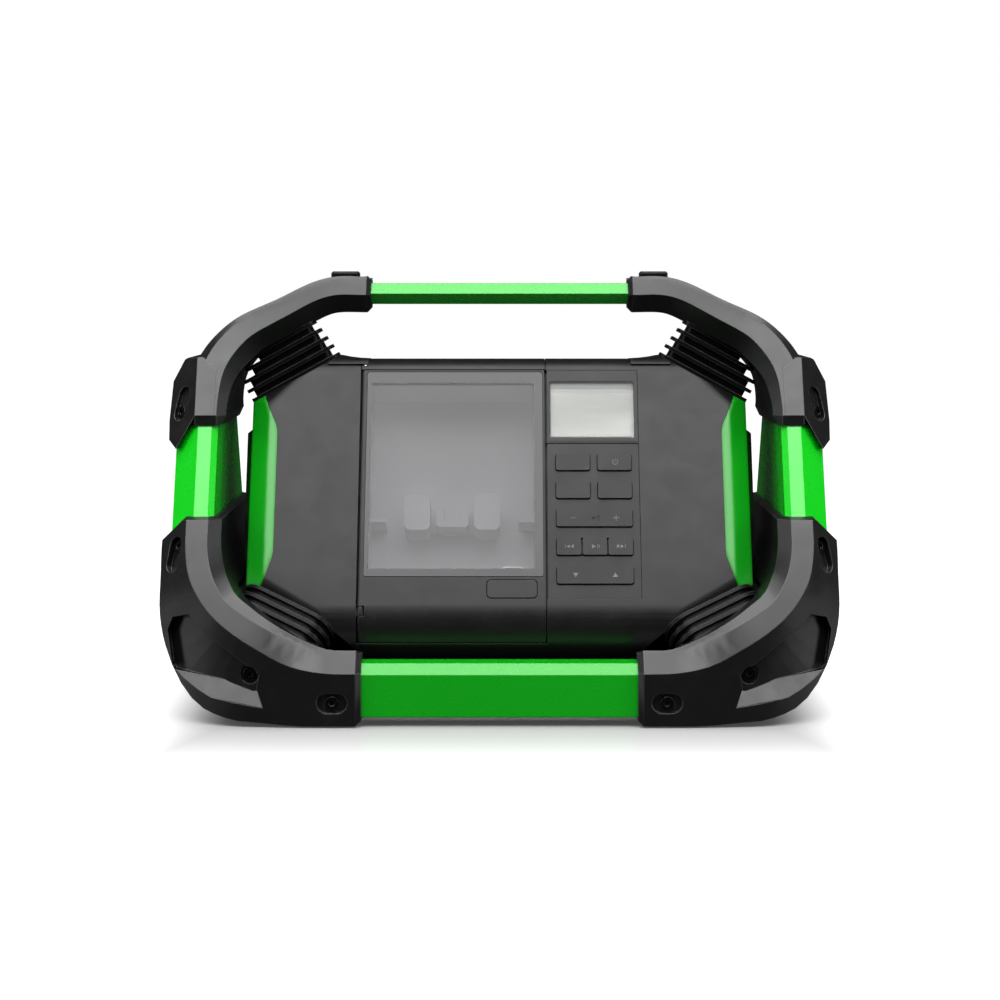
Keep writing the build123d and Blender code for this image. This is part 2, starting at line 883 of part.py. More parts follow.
with BuildPart() as pocket:
    with BuildSketch(Plane.XZ):
        with BuildLine():
            Polyline(*pocket_outline, close=True)
        make_face()
    extrude(amount=front_limit * 1.2)
    add(pocket_core.part, mode=Mode.SUBTRACT)
    add(pocket_ramp.part, mode=Mode.SUBTRACT)
    split(bisect_by=Plane.XZ.offset(foot_places[1] * 0.9), keep=Keep.TOP)

with BuildPart() as arm_slope:
    ridge_height = lower_stations[-1][1] + lower_stations[-1][5]
    ridge_depth = half_depth(bumper_half_depth, lower_stations[-1][1]) - lower_stations[-1][6][0]
    with BuildSketch(Plane.YZ):
        with BuildLine():
            Polyline(
                (1.5 - ridge_depth, ridge_height),
                (1 - arm_depth, ridge_height - arm_fall),
                (1 - arm_depth, ridge_height + 10),
                (1.5 - ridge_depth, ridge_height + 10),
                close=True,
            )
        make_face()
    extrude(amount=bar_end + 31)

with BuildPart() as lower_bumper:
    add(bumper_run(lower_stations, (guard_inner + 3.0, guard_low), (bar_end, 48.6), True))
    # the outer corner slopes down from the guard, and the front arm falls away to the rear
    with BuildSketch(Plane.XZ):
        with BuildLine():
            Polyline(
                (guard_nose_outer + 4.7, guard_low + 0.5),
                (guard_outer + 11, guard_low - 22),
                (guard_outer + 11, guard_low + 9),
                (guard_nose_outer + 4.7, guard_low + 9),
                close=True,
            )
        make_face()
    extrude(amount=front_limit, both=True, mode=Mode.SUBTRACT)
    add(both_ends(arm_slope.part), mode=Mode.SUBTRACT)
    with BuildSketch():
        Rectangle(2 * arm_reach, 2 * arm_depth)
    extrude(amount=guard_low, mode=Mode.SUBTRACT)
    add(body_form(-body_clearance), mode=Mode.SUBTRACT)
    add(both_ends(lower_mount_slab(1.0, -10, lower_mount_height)), mode=Mode.SUBTRACT)
    add(guard_form(fit_gap, guard_low - socket_depth, handle_height), mode=Mode.SUBTRACT)
    add(both_ends(bottom_bar_form(fit_gap, bottom_bar_length)), mode=Mode.SUBTRACT)
    add(both_ends(pocket.part), mode=Mode.SUBTRACT)
    add(both_ends(recess(lower_seat, recess_length, recess_width)), mode=Mode.SUBTRACT)
    add(both_ends(recess(bar_seat, bar_recess_length, bar_recess_width)), mode=Mode.SUBTRACT)
    add(both_ends(recess(pocket_seat, pocket_recess_length, recess_width)), mode=Mode.SUBTRACT)
    add(bolt_holes, mode=Mode.SUBTRACT)
    add(both_ends(foot(0)), mode=Mode.SUBTRACT)
    split(bisect_by=Plane.XY.offset(bumper_bottom), keep=Keep.TOP)
save_pair(lower_bumper, "lower_bumper")

with BuildPart() as side_guard:
    add(guard_form(0, guard_low - socket_depth, guard_high + socket_depth))
    add(guard_form(-bar_wall, 0, guard_high * 1.2), mode=Mode.SUBTRACT)
    add(bolt_holes, mode=Mode.SUBTRACT)
save_pair(side_guard, "side_guard")

with BuildPart() as bottom_bar_front_piece:
    add(bottom_bar_form(0, bottom_bar_length))
    add(bottom_bar_form(-bar_wall, bottom_bar_length), mode=Mode.SUBTRACT)
    add(bolt_holes, mode=Mode.SUBTRACT)
    mirror_holes = mirror(bolt_holes, about=Plane.YZ, mode=Mode.PRIVATE)
    add(mirror_holes, mode=Mode.SUBTRACT)
save(bottom_bar_front_piece, "bottom_bar_front")

with BuildPart() as bottom_bar_rear:
    mirror(bottom_bar_front_piece.part, about=Plane.XZ)
save(bottom_bar_rear, "bottom_bar_rear")

# ---------------------------------------------------------------- shells of the body

ring_band = 6.3  # of the ring on the leaned faces
ring_outline = [
    (face_half_width - ring_band, 113.0),
    (face_half_width - ring_band, 201.0),
    (body_half_width - 6.4, 229.5),
    (body_half_width + 13.0, 229.5),
    (body_half_width + 13.0, 69.0),
    (body_half_width - 7.0, 79.0),
]
ring_radius = 20.0
ring_overlap = 5.0  # shell seat past the edge of the ring
grille_low = 104.0
grille_high = 199.0
grille_low_half = 56.0
grille_high_half = 15.0
grille_proud = 5.4
grille_wall = 2.2
shell_side_x = body_half_width - ring_thickness
boss_places = [(124.0, 76.0), (124.0, 198.0)]
boss_radius = 4.5
screw_radius = 1.6
screw_head_radius = 3.4
screw_head_sink = 7.0
screw_length = 30.0
inlet_place = (-128.0, 62.0)
inlet_radius = 7.0


def ring_zone(depth, grow=0.0):
    """Skin of the body side, of a depth, where the coloured ring lies (right side)."""
    with BuildPart() as zone:
        add(body_outer)
        add(body_form(depth), mode=Mode.SUBTRACT)
        with BuildSketch(Plane.XZ) as zone_sketch:
            with BuildLine():
                Polyline(*ring_outline, close=True)
            make_face()
            band_corners = zone_sketch.vertices().group_by(Axis.X)[0]
            fillet(band_corners, ring_radius)
            if grow:
                offset(amount=grow, kind=Kind.INTERSECTION)
        extrude(amount=front_limit, both=True, mode=Mode.INTERSECT)
    return zone.part


def grille_prism(grow, x_low, x_high, taper=0.0):
    """Trapezoid block along X over the side speaker (right side)."""
    with BuildPart() as block:
        with BuildSketch(Plane.YZ.offset(x_low)):
            with BuildLine():
                Polyline(
                    (-grille_low_half - grow, grille_low - grow),
                    (grille_low_half + grow, grille_low - grow),
                    (grille_high_half + grow, grille_high + grow),
                    (-grille_high_half - grow, grille_high + grow),
                    close=True,
                )
            make_face()
        extrude(amount=x_high - x_low, taper=taper)
    return block.part


def both_sides(shape):
    """A right-hand shape and its mirror image."""
    with BuildPart() as pair:
        add(shape)
        mirror(about=Plane.YZ)
    return pair.part


side_speaker_plane = Plane(
    origin=(shell_side_x - wall, 0, side_speaker_height), x_dir=(0, 1, 0), z_dir=(1, 0, 0)
)
woofer_plane = Plane(
    origin=back_plane.from_local_coords((-woofer_place[0], woofer_place[1], -2 * wall)),
    x_dir=(-1, 0, 0),
    z_dir=back_plane.z_dir,
)
rear_grille_box = (-104.0, 4.0, 54.0, 156.0)  # X from, X to, along the slope from, to
rear_grille_thickness = 3.0


def back_block(left, right, low, high, top, bottom, radius=0.0):
    """Block on the leaned rear, given from left to right in X."""
    return face_block(back_plane, -right, -left, low, high, top, bottom, radius)


boss_pairs = [(side * x, z) for x, z in boss_places for side in (1, -1)]

with BuildPart() as bosses:
    with BuildSketch(Plane.XZ):
        with Locations(*boss_pairs):
            Circle(boss_radius)
    extrude(amount=front_limit, both=True)
    add(body_form(wall / 2), mode=Mode.INTERSECT)

bay_wall = 2.0
cover_floor_gap = 0.5
cover_rim = 3.6
battery_top = cover_thickness + 2.5
battery_bottom = battery_top + battery_length


def battery_block(grow, top, bottom):
    """Block over the battery, square to the leaned rear."""
    return back_block(
        battery_left - grow,
        battery_right + grow,
        battery_low - grow,
        battery_high + grow,
        top,
        bottom,
    )


cover_grow = fit_gap + bay_wall + cover_margin  # cover past the battery
door_box = (
    door_left - seam_gap,
    door_right + 1.5 * seam_gap,
    door_low - seam_gap,
    door_high + seam_gap,
)
door_pin_x = door_left + door_thickness / 2
door_pin_depth = door_thickness / 2
door_pin_spans = [(19.5, 34.0), (door_high - 5.6, door_high + 4.8)]
door_pivot = face_plane.offset(-door_pin_depth)
pin_gap = 0.08
lug_low = 17.5
lug_high = 24.3
lug_radius = door_thickness / 2 - 0.1


def along_pivot(slope_place):
    """Plane across the pivot of the door, its Y pointing inward."""
    origin = door_pivot.from_local_coords((door_pin_x, slope_place, 0))
    return Plane(origin=origin, x_dir=(1, 0, 0), z_dir=door_pivot.y_dir)


def door_pins(grow, extra):
    """Two pivot pins in line, along the left edge of the door."""
    with BuildPart() as pins:
        for start, end in door_pin_spans:
            with BuildSketch(along_pivot(start - extra)):
                Circle(door_pin_radius + grow)
            extrude(amount=end - start + 2 * extra)
    return pins.part


with BuildPart() as pivot_lug:
    with BuildSketch(along_pivot(lug_low)):
        Circle(lug_radius)
        with Locations((-0.6, 2.6)):
            Rectangle(2 * lug_radius + 1.2, 5.2)
    extrude(amount=lug_high - lug_low)
    add(body_outer, mode=Mode.INTERSECT)

door_recess = body_skin(door_thickness + seam_gap, face_plane, *door_box)
panel_lip = 2.5
controls_boxes = [(bezel_low, bezel_high), (keypad_low, keypad_high)]

# Raised lips at the upper ends of the corners, where the upper mounts start
lip_end = shoulder_half_width - lip_height / tan(radians(shoulder_angle))
with BuildPart() as mount_lips:
    add(body_form(0, body_top + lip_height))
    with BuildSketch(Plane.XZ):
        with BuildLine():
            Polyline(
                (shoulder_half_width + 2, body_top - wall),
                (shoulder_half_width + 2, body_top + lip_height + 1),
                (lip_end - 0.5, body_top + lip_height + 1),
                (lip_end - 0.5, body_top + lip_height),
                (lip_end - 7, body_top + lip_height * 0.48),
                (lip_end - 14, body_top + lip_height * 0.16),
                (lip_end - 22, body_top),
                (lip_end - 22, body_top - wall),
                close=True,
            )
        make_face()
    extrude(amount=front_limit, both=True, mode=Mode.INTERSECT)

door_lines = [door_left - seam_gap, (door_right + panel_left - seam_gap) / 2]
door_line_depth = 1.4

with BuildPart() as casing:
    add(body_outer)
    add(body_form(wall), mode=Mode.SUBTRACT)
    add(both_sides(mount_lips.part))
    add(both_sides(ring_zone(ring_thickness + wall, ring_overlap)))
    add(body_skin(backing_depth, face_plane, door_left - 5, door_right + 5, -6, door_high + 8))
    add(body_skin(backing_depth, face_plane, panel_left - 4, panel_right + 4, 24, bezel_high + 4))
    add(
        body_skin(
            2 * wall,
            back_plane,
            -rear_grille_box[1] - 4,
            -rear_grille_box[0] + 4,
            rear_grille_box[2] - 4,
            rear_grille_box[3] + 4,
        )
    )
    add(
        body_skin(
            cover_thickness + wall + 1,
            back_plane,
            -battery_right - cover_grow - cover_rim,
            -battery_left + cover_grow + cover_rim,
            battery_low - cover_grow - cover_rim,
            battery_high + cover_grow + cover_rim,
        )
    )
    add(bosses.part)
    add(battery_block(fit_gap + bay_wall, cover_thickness + 1, battery_bottom + bay_wall))
    add(battery_block(fit_gap, -10, battery_bottom), mode=Mode.SUBTRACT)
    add(battery_block(cover_grow + seam_gap, -10, cover_thickness + cover_floor_gap), mode=Mode.SUBTRACT)
    # door recess and the window into the tub
    add(door_recess, mode=Mode.SUBTRACT)
    add(pivot_lug.part)
    add(
        face_block(
            face_plane,
            tub_left - fit_gap,
            tub_right + fit_gap,
            tub_low - fit_gap,
            tub_high + fit_gap,
            -5,
            backing_depth + 5,
        ),
        mode=Mode.SUBTRACT,
    )
    # seats of the display bezel and of the keypad
    for low, high in controls_boxes:
        add(
            face_block(face_plane, door_box[1] - 0.1, panel_right, low, high, -5, panel_thickness),
            mode=Mode.SUBTRACT,
        )
        add(
            face_block(
                face_plane,
                panel_left + panel_lip,
                panel_right - panel_lip,
                low + panel_lip,
                high - panel_lip,
                -5,
                backing_depth + 5,
            ),
            mode=Mode.SUBTRACT,
        )
    # the door's side seams run on over the top
    for x in door_lines:
        add(
            body_skin(door_line_depth, face_plane, x, x + seam_gap, door_high, door_high + 30),
            mode=Mode.SUBTRACT,
        )
    # side speakers, behind the coloured rings
    add(both_sides(ring_zone(ring_thickness)), mode=Mode.SUBTRACT)
    with BuildSketch(Plane.YZ):
        with Locations((0, side_speaker_height)):
            Circle(side_speaker_radius - 4)
    extrude(amount=body_half_width + 10, both=True, mode=Mode.SUBTRACT)
    # woofer and its grille
    add(back_block(*rear_grille_box, -5, rear_grille_thickness, 6), mode=Mode.SUBTRACT)
    with BuildSketch(back_plane):
        with Locations((-woofer_place[0], woofer_place[1])):
            Circle(woofer_radius - 4)
    extrude(amount=-3 * wall, mode=Mode.SUBTRACT)
    # inlet
    with BuildSketch(back_plane):
        with Locations((-inlet_place[0], inlet_place[1])):
            Circle(inlet_radius)
    extrude(amount=-3 * wall, both=True, mode=Mode.SUBTRACT)

with BuildPart() as screw_cuts:
    for x, z in boss_pairs:
        rear_y = half_depth(body_half_depth, z) - screw_head_sink
        with BuildSketch(Plane(origin=(x, rear_y, z), x_dir=(1, 0, 0), z_dir=(0, 1, 0))):
            Circle(screw_head_radius + 0.3)
        extrude(amount=30)
        with BuildSketch(Plane(origin=(x, rear_y, z), x_dir=(1, 0, 0), z_dir=(0, -1, 0))):
            Circle(screw_radius + 0.15)
        extrude(amount=rear_y + 12)

with BuildPart() as shell_screws:
    for x, z in boss_pairs:
        rear_y = half_depth(body_half_depth, z) - screw_head_sink
        with BuildSketch(Plane(origin=(x, rear_y, z), x_dir=(1, 0, 0), z_dir=(0, 1, 0))):
            Circle(screw_head_radius)
        extrude(amount=2.2)
        with BuildSketch(Plane(origin=(x, rear_y + 2.2, z), x_dir=(1, 0, 0), z_dir=(0, 1, 0))):
            RegularPolygon(1.7, 6)
        extrude(amount=-1.4, mode=Mode.SUBTRACT)
        with BuildSketch(Plane(origin=(x, rear_y, z), x_dir=(1, 0, 0), z_dir=(0, -1, 0))):
            Circle(screw_radius)
        extrude(amount=rear_y + 10)
save(shell_screws, "shell_screws")

# ---------------------------------------------------------------- rings and side speakers

with BuildPart() as accent_ring:
    add(ring_zone(ring_thickness))
    add(grille_prism(fit_gap, body_half_width - 20, body_half_width + 20), mode=Mode.SUBTRACT)
save_pair(accent_ring, "accent_ring")

grille_taper = 38.0
louvre_pitch = 7.0
louvre_height = 3.0
louvre_count = 11
with BuildPart() as speaker_grille:
    add(grille_prism(0, shell_side_x, body_half_width))
    add(grille_prism(0, body_half_width, body_half_width + grille_proud, grille_taper))
    add(
        grille_prism(
            -grille_wall, shell_side_x, body_half_width + grille_proud - grille_wall, grille_taper / 1.6
        ),
        mode=Mode.SUBTRACT,
    )
    for index in range(louvre_count):
        height = grille_low + 11 + index * louvre_pitch
        half = grille_low_half + (grille_high_half - grille_low_half) * (height - grille_low) / (
            grille_high - grille_low
        )
        with BuildSketch(Plane.YZ.offset(body_half_width)):
            with Locations((0, height)):
                SlotOverall(2 * (half - 9), louvre_height)
        extrude(amount=grille_proud * 2, mode=Mode.SUBTRACT)
save_pair(speaker_grille, "speaker_grille")


def speaker_basket(plane, radius, depth):
    """Frame and magnet of a loudspeaker behind a plane, opening along the plane's Z."""
    ring = 4.0
    flange = 2.4
    magnet_radius = radius * 0.52
    magnet_depth = depth * 0.36
    with BuildPart() as basket:
        with BuildSketch(plane):
            Circle(radius)
            Circle(radius - ring, mode=Mode.SUBTRACT)
        extrude(amount=-flange)
        with BuildSketch(plane.offset(-flange)):
            Circle(radius - 1.6)
        with BuildSketch(plane.offset(magnet_depth - depth)):
            Circle(magnet_radius)
        loft(ruled=True)
        with BuildSketch(plane.offset(-flange)):
            Circle(radius - ring)
        with BuildSketch(plane.offset(magnet_depth - depth + 2)):
            Circle(magnet_radius - 2.4)
        loft(ruled=True, mode=Mode.SUBTRACT)
        with BuildSketch(plane.offset(magnet_depth - depth)):
            Circle(magnet_radius)
        extrude(amount=-magnet_depth)
    return basket.part


def speaker_cone(plane, radius, depth):
    """Surround, cone and dust cap of a loudspeaker, in the mouth of its basket."""
    lip = radius - 4.0
    cap = radius * 0.34
    sink = depth * 0.3
    skin = 1.0
    section = Plane(origin=plane.origin, x_dir=plane.x_dir, z_dir=-plane.y_dir)
    with BuildPart() as cone:
        with BuildSketch(section):
            with BuildLine():
                Polyline(
                    (lip, -1.0),
                    (lip - 2, 1.0),
                    (lip - 5, 1.0),
                    (lip - 7, -1.4),
                    (cap, -sink),
                    (cap * 0.55, 2.6 - sink),
                    (0, 2.6 - sink),
                    (0, -sink - skin),
                    (cap, -sink - skin),
                    (lip - 7, -2.4),
                    (lip, -2.4),
                    close=True,
                )
            make_face()
        revolve(axis=Axis(plane.origin, plane.z_dir))
    return cone.part


with BuildPart() as side_basket:
    add(speaker_basket(side_speaker_plane, side_speaker_radius, side_speaker_depth))
save_pair(side_basket, "speaker_basket")

with BuildPart() as side_cone:
    add(speaker_cone(side_speaker_plane, side_speaker_radius, side_speaker_depth))
save_pair(side_cone, "speaker_cone")

with BuildPart() as woofer_basket:
    add(speaker_basket(woofer_plane, woofer_radius, woofer_depth))
save(woofer_basket, "woofer_basket")

with BuildPart() as woofer_cone:
    add(speaker_cone(woofer_plane, woofer_radius, woofer_depth))
save(woofer_cone, "woofer_cone")

rear_slot_pitch = 8.0
rear_slot_height = 3.6
rear_slot_count = 11
with BuildPart() as rear_grille:
    add(
        back_block(
            rear_grille_box[0] + fit_gap,
            rear_grille_box[1] - fit_gap,
            rear_grille_box[2] + fit_gap,
            rear_grille_box[3] - fit_gap,
            0,
            rear_grille_thickness,
            6,
        )
    )
    with BuildSketch(back_plane):
        for index in range(rear_slot_count):
            shift = (index - (rear_slot_count - 1) / 2) * rear_slot_pitch
            half = (1 - (shift / (woofer_radius + 2)) ** 2) ** 0.5 * (woofer_radius - 4)
            with Locations((-woofer_place[0], woofer_place[1] + shift)):
                SlotOverall(2 * half, rear_slot_height)
    extrude(amount=-2 * wall, mode=Mode.SUBTRACT)
save(rear_grille, "rear_grille")

# ---------------------------------------------------------------- door

pane_box = (
    door_left + pane_margin,
    door_right - pane_edge,
    pane_low,
    door_high - pane_edge,
)
pane_low_gap = 0.7
latch_proud = 0.4
latch_radius = 3.0
latch_flange = 1.6
latch_flange_top = 3.0
latch_flange_bottom = 3.8


def latch_block(grow_x, grow_slope, top, bottom, radius=0.0):
    """Block over the latch button, grown sideways and along the slope."""
    return face_block(
        face_plane,
        latch_place[0] - latch_width / 2 - grow_x,
        latch_place[0] + latch_width / 2 + grow_x,
        latch_place[1] - latch_height / 2 - grow_slope,
        latch_place[1] + latch_height / 2 + grow_slope,
        top,
        bottom,
        radius,
    )


with BuildPart() as door_frame:
    add(body_skin(door_thickness, face_plane, door_left, door_right, door_low, door_high))
    left_edges = (
        door_frame.edges()
        .filter_by(lambda edge: abs(edge.center().X - door_left) < 0.01)
        .filter_by(lambda edge: edge.length > door_high * 0.6)
    )
    fillet(left_edges, door_thickness / 2 - 0.05)
    add(door_pins(pin_gap, fit_gap), mode=Mode.SUBTRACT)
    add(
        face_block(
            face_plane,
            door_left - 1,
            door_pin_x + lug_radius + fit_gap,
            lug_low - fit_gap,
            lug_high + fit_gap,
            -5,
            20,
        ),
        mode=Mode.SUBTRACT,
    )
    add(
        face_block(face_plane, *pane_box, -5, pane_thickness + 0.3, 2.0),
        mode=Mode.SUBTRACT,
    )
    add(
        face_block(face_plane, clear_left, clear_right, clear_low, clear_high, -5, 20, 1.5),
        mode=Mode.SUBTRACT,
    )
    add(latch_block(key_gap, key_gap, -5, 20, latch_radius + key_gap), mode=Mode.SUBTRACT)
    add(
        latch_block(key_gap, latch_flange + key_gap, latch_flange_top - fit_gap, 20),
        mode=Mode.SUBTRACT,
    )
save(door_frame, "door_frame")

with BuildPart() as door_window:
    add(
        face_block(
            face_plane,
            pane_box[0] + 0.15,
            pane_box[1] - 0.15,
            pane_box[2] + pane_low_gap,
            pane_box[3] - 0.15,
            0.3,
            pane_thickness + 0.3,
            1.85,
        )
    )
save(door_window, "door_window")

with BuildPart() as door_hinge_pin:
    add(door_pins(0, 0))
save(door_hinge_pin, "door_hinge_pin")

with BuildPart() as door_latch:
    add(latch_block(0, 0, -latch_proud, latch_flange_top, latch_radius))
    add(latch_block(0, latch_flange, latch_flange_top, latch_flange_bottom))
save(door_latch, "door_latch")

# ---------------------------------------------------------------- storage tub

tub_box = (tub_left, tub_right, tub_low, tub_high)
inner_tub_box = (tub_left + tub_wall, tub_right - tub_wall, tub_low + tub_wall, tub_high - tub_wall)
ledge_low = 96.0
ledge_thickness = 3.0
ledge_depth = 24.0
ledge_reach = 14.0

with BuildPart() as storage_tub:
    add(face_block(face_plane, *tub_box, door_thickness + 1.4, tub_depth, 3))
    add(
        face_block(
            face_plane,
            tub_left - tub_flange,
            tub_right + tub_flange,
            tub_low - tub_flange,
            tub_high + tub_flange,
            backing_depth,
            backing_depth + tub_wall,
        )
    )
    add(
        face_block(face_plane, *inner_tub_box, 0, tub_depth - tub_wall, 2),
        mode=Mode.SUBTRACT,
    )
    for left, right in (
        (tub_left + 1, tub_left + ledge_reach),
        (tub_right - ledge_reach, tub_right - 1),
    ):
        add(
            face_block(
                face_plane,
                left,
                right,
                ledge_low,
                ledge_low + ledge_thickness,
                ledge_depth,
                tub_depth - 1,
            )
        )
save(storage_tub, "storage_tub")

clip_middle = (tub_left + tub_right) / 2
jaw_offset = 25.5
jaw_width = 19.0
jaw_low = 88.0
jaw_high = 116.0
jaw_top = 18.0
saddle_half = 12.0
clip_floor = tub_depth - tub_wall

with BuildPart() as phone_clip:
    add(
        face_block(
            face_plane,
            clip_middle - jaw_offset - jaw_width / 2,
            clip_middle + jaw_offset + jaw_width / 2,
            jaw_low + 4,
            jaw_high - 4,
            clip_floor - 3,
            clip_floor,
        )
    )
    for side in (-1, 1):
        middle = clip_middle + side * jaw_offset
        add(
            face_block(
                face_plane,
                middle - jaw_width / 2,
                middle + jaw_width / 2,
                jaw_low,
                jaw_high,
                jaw_top,
                clip_floor,
                5,
            )
        )
    add(
        face_block(
            face_plane,
            clip_middle - saddle_half,
            clip_middle + saddle_half,
            jaw_low + 5,
            jaw_high - 8,
            jaw_top + 8,
            clip_floor,
            3,
        )
    )
    add(
        face_block(
            face_plane,
            clip_middle - saddle_half / 2,
            clip_middle + saddle_half / 2,
            jaw_low + 9,
            jaw_high,
            jaw_top,
            clip_floor - 6,
            2,
        ),
        mode=Mode.SUBTRACT,
    )
save(phone_clip, "phone_clip")

usb_width = 14.6
usb_height = 7.0
usb_place = (10.0, 62.0)
usb_length = 9.0
with BuildPart() as usb_socket:
    usb_box = (
        usb_place[0] - usb_width / 2,
        usb_place[0] + usb_width / 2,
        usb_place[1] - usb_height / 2,
        usb_place[1] + usb_height / 2,
    )
    add(face_block(face_plane, *usb_box, clip_floor - usb_length, clip_floor))
    add(
        face_block(
            face_plane,
            usb_box[0] + 1,
            usb_box[1] - 1,
            usb_box[2] + 1,
            usb_box[3] - 1,
            clip_floor - usb_length - 1,
            clip_floor - 1.5,
        ),
        mode=Mode.SUBTRACT,
    )
    add(
        face_block(
            face_plane,
            usb_box[0] + 2,
            usb_box[1] - 2,
            usb_place[1] - 0.2,
            usb_place[1] + 1.6,
            clip_floor - usb_length + 1,
            clip_floor - 1,
        )
    )
save(usb_socket, "usb_socket")

seal_width = 2.0
seal_inner = (
    tub_left - fit_gap,
    tub_right + fit_gap,
    tub_low - fit_gap,
    tub_high + fit_gap,
)
seal_outer = (
    seal_inner[0] - seal_width,
    seal_inner[1] + seal_width,
    seal_inner[2] - seal_width,
    seal_inner[3] + seal_width,
)
with BuildPart() as door_seal:
    add(face_block(face_plane, *seal_outer, door_thickness + fit_gap, door_thickness + seam_gap))
    add(face_block(face_plane, *seal_inner, 0, 10), mode=Mode.SUBTRACT)
save(door_seal, "door_seal")

# ---------------------------------------------------------------- display and keypad

lens_thickness = 1.6
lens_setback = 0.4
with BuildPart() as display_bezel:
    add(
        face_block(
            face_plane,
            panel_left + 0.15,
            panel_right - 0.15,
            bezel_low + 0.15,
            bezel_high - 0.15,
            0.2,
            panel_thickness,
        )
    )
    add(
        face_block(face_plane, display_left, display_right, display_low, display_high, -5, 10, 1.2),
        mode=Mode.SUBTRACT,
    )
save(display_bezel, "display_bezel")

with BuildPart() as display_lens:
    add(
        face_block(
            face_plane,
            display_left + 0.1,
            display_right - 0.1,
            display_low + 0.1,
            display_high - 0.1,
            lens_setback,
            lens_setback + lens_thickness,
            1.1,
        )
    )
save(display_lens, "display_lens")

board_top = backing_depth
board_thickness = 1.6
with BuildPart() as lcd_module:
    add(
        face_block(
            face_plane,
            panel_left + panel_lip + 0.5,
            panel_right - panel_lip - 0.5,
            bezel_low + panel_lip + 0.5,
            bezel_high - panel_lip - 3,
            lens_setback + lens_thickness + 2.2,
            board_top,
        )
    )
    add(
        face_block(
            face_plane,
            display_left + 1.5,
            display_right - 1.5,
            display_low + 1.5,
            display_high - 1.5,
            lens_setback + lens_thickness,
            board_top,
        )
    )
save(lcd_module, "lcd_module")

# Keys: name, left, right, row
key_column = (key_field_right - key_field_left - key_column_gap) / 2
third = (key_field_right - key_field_left - 2 * key_slit) / 3
push_keys = [
    ("key_source", key_field_left, key_field_left + key_column, 0),
    ("key_power", key_field_right - key_column, key_field_right, 0),
    ("key_menu", key_field_left, key_field_left + key_column, 1),
    ("key_enter", key_field_right - key_column, key_field_right, 1),
    ("key_previous", key_field_left, key_field_left + third, 3),
    ("key_play", key_field_left + third + key_slit, key_field_right - third - key_slit, 3),
    ("key_next", key_field_right - third, key_field_right, 3),
]
rockers = [("volume_rocker", 2), ("preset_rocker", 4)]
key_radius = 1.6
key_bottom = panel_thickness + 0.3
key_flange_thickness = 1.0
stem_half = 4.0
rocker_bottom = key_bottom + 0.2  # room to tilt


def row_range(row):
    """Lower and upper edge of a row of keys, along the slope."""
    middle = key_first_row - row * key_pitch
    return middle - key_height / 2, middle + key_height / 2


with BuildPart() as keypad_mat:
    add(
        face_block(
            face_plane,
            panel_left + 0.15,
            panel_right - 0.15,
            keypad_low + 0.15,
            keypad_high - 0.15,
            mat_setback,
            panel_thickness,
        )
    )
    key_areas = [(left, right, row) for _, left, right, row in push_keys if row != 3]
    key_areas += [(key_field_left, key_field_right, row) for row in (2, 3, 4)]
    for left, right, row in key_areas:
        low, high = row_range(row)
        add(
            face_block(
                face_plane,
                left - key_gap,
                right + key_gap,
                low - key_gap,
                high + key_gap,
                -5,
                10,
                key_radius + key_gap,
            ),
            mode=Mode.SUBTRACT,
        )
save(keypad_mat, "keypad_mat")

for name, left, right, row in push_keys:
    low, high = row_range(row)
    with BuildPart() as key:
        add(face_block(face_plane, left, right, low, high, -key_proud, key_bottom, key_radius))
        add(
            face_block(
                face_plane,
                left,
                right,
                low - key_flange,
                high + key_flange,
                key_bottom,
                key_bottom + key_flange_thickness,
            )
        )
    save(key, name)

for name, row in rockers:
    low, high = row_range(row)
    middle = (key_field_left + key_field_right) / 2
    with BuildPart() as rocker:
        add(
            face_block(
                face_plane,
                key_field_left,
                key_field_right,
                low,
                high,
                -key_proud,
                panel_thickness - 1,
                key_radius,
            )
        )
        add(
            face_block(
                face_plane,
                middle - stem_half,
                middle + stem_half,
                low,
                high,
                panel_thickness - 1,
                rocker_bottom,
            )
        )
        add(
            face_block(
                face_plane,
                middle - stem_half,
                middle + stem_half,
                low - key_flange,
                high + key_flange,
                rocker_bottom,
                rocker_bottom + key_flange_thickness,
            )
        )
    save(rocker, name)

with BuildPart() as main_board:
    add(
        face_block(
            face_plane,
            panel_left + 0.5,
            panel_right - 0.5,
            keypad_low + 1,
            bezel_high - 4,
            board_top,
            board_top + board_thickness,
        )
    )
    for slope_place, height in ((60, 4.0), (100, 6.0), (140, 3.0)):
        add(
            face_block(
                face_plane,
                panel_left + 12,
                panel_left + 30,
                slope_place,
                slope_place + 16,
                board_top + board_thickness,
                board_top + board_thickness + height,
            )
        )
save(main_board, "main_board")

amplifier_height = body_bottom + wall + 4.0
amplifier_box = (-80.0, 20.0, -66.0, -16.0)
post_radius = 3.0
with BuildPart() as amplifier_board:
    middle_x, width = spread(*amplifier_box[:2])
    middle_y, depth = spread(*amplifier_box[2:])
    with BuildSketch(Plane.XY.offset(amplifier_height)):
        with Locations((middle_x, middle_y)):
            Rectangle(width, depth)
    extrude(amount=board_thickness)
    with BuildSketch(Plane.XY.offset(amplifier_height + board_thickness)):
        with Locations((middle_x - 20, middle_y), (middle_x + 10, middle_y)):
            Rectangle(18, 30)
    extrude(amount=12)
save(amplifier_board, "amplifier_board")

# ---------------------------------------------------------------- battery, cover and inlet

with BuildPart() as battery_pack:
    add(battery_block(0, battery_top, battery_bottom))
    add(
        back_block(
            battery_left + 14,
            battery_right - 14,
            battery_low - 1,
            battery_low + 7,
            battery_top + 20,
            battery_bottom + 1,
        ),
        mode=Mode.SUBTRACT,
    )
    chamfer(battery_pack.faces().sort_by(Axis.Y)[-1].edges(), 2)
save(battery_pack, "battery_pack")

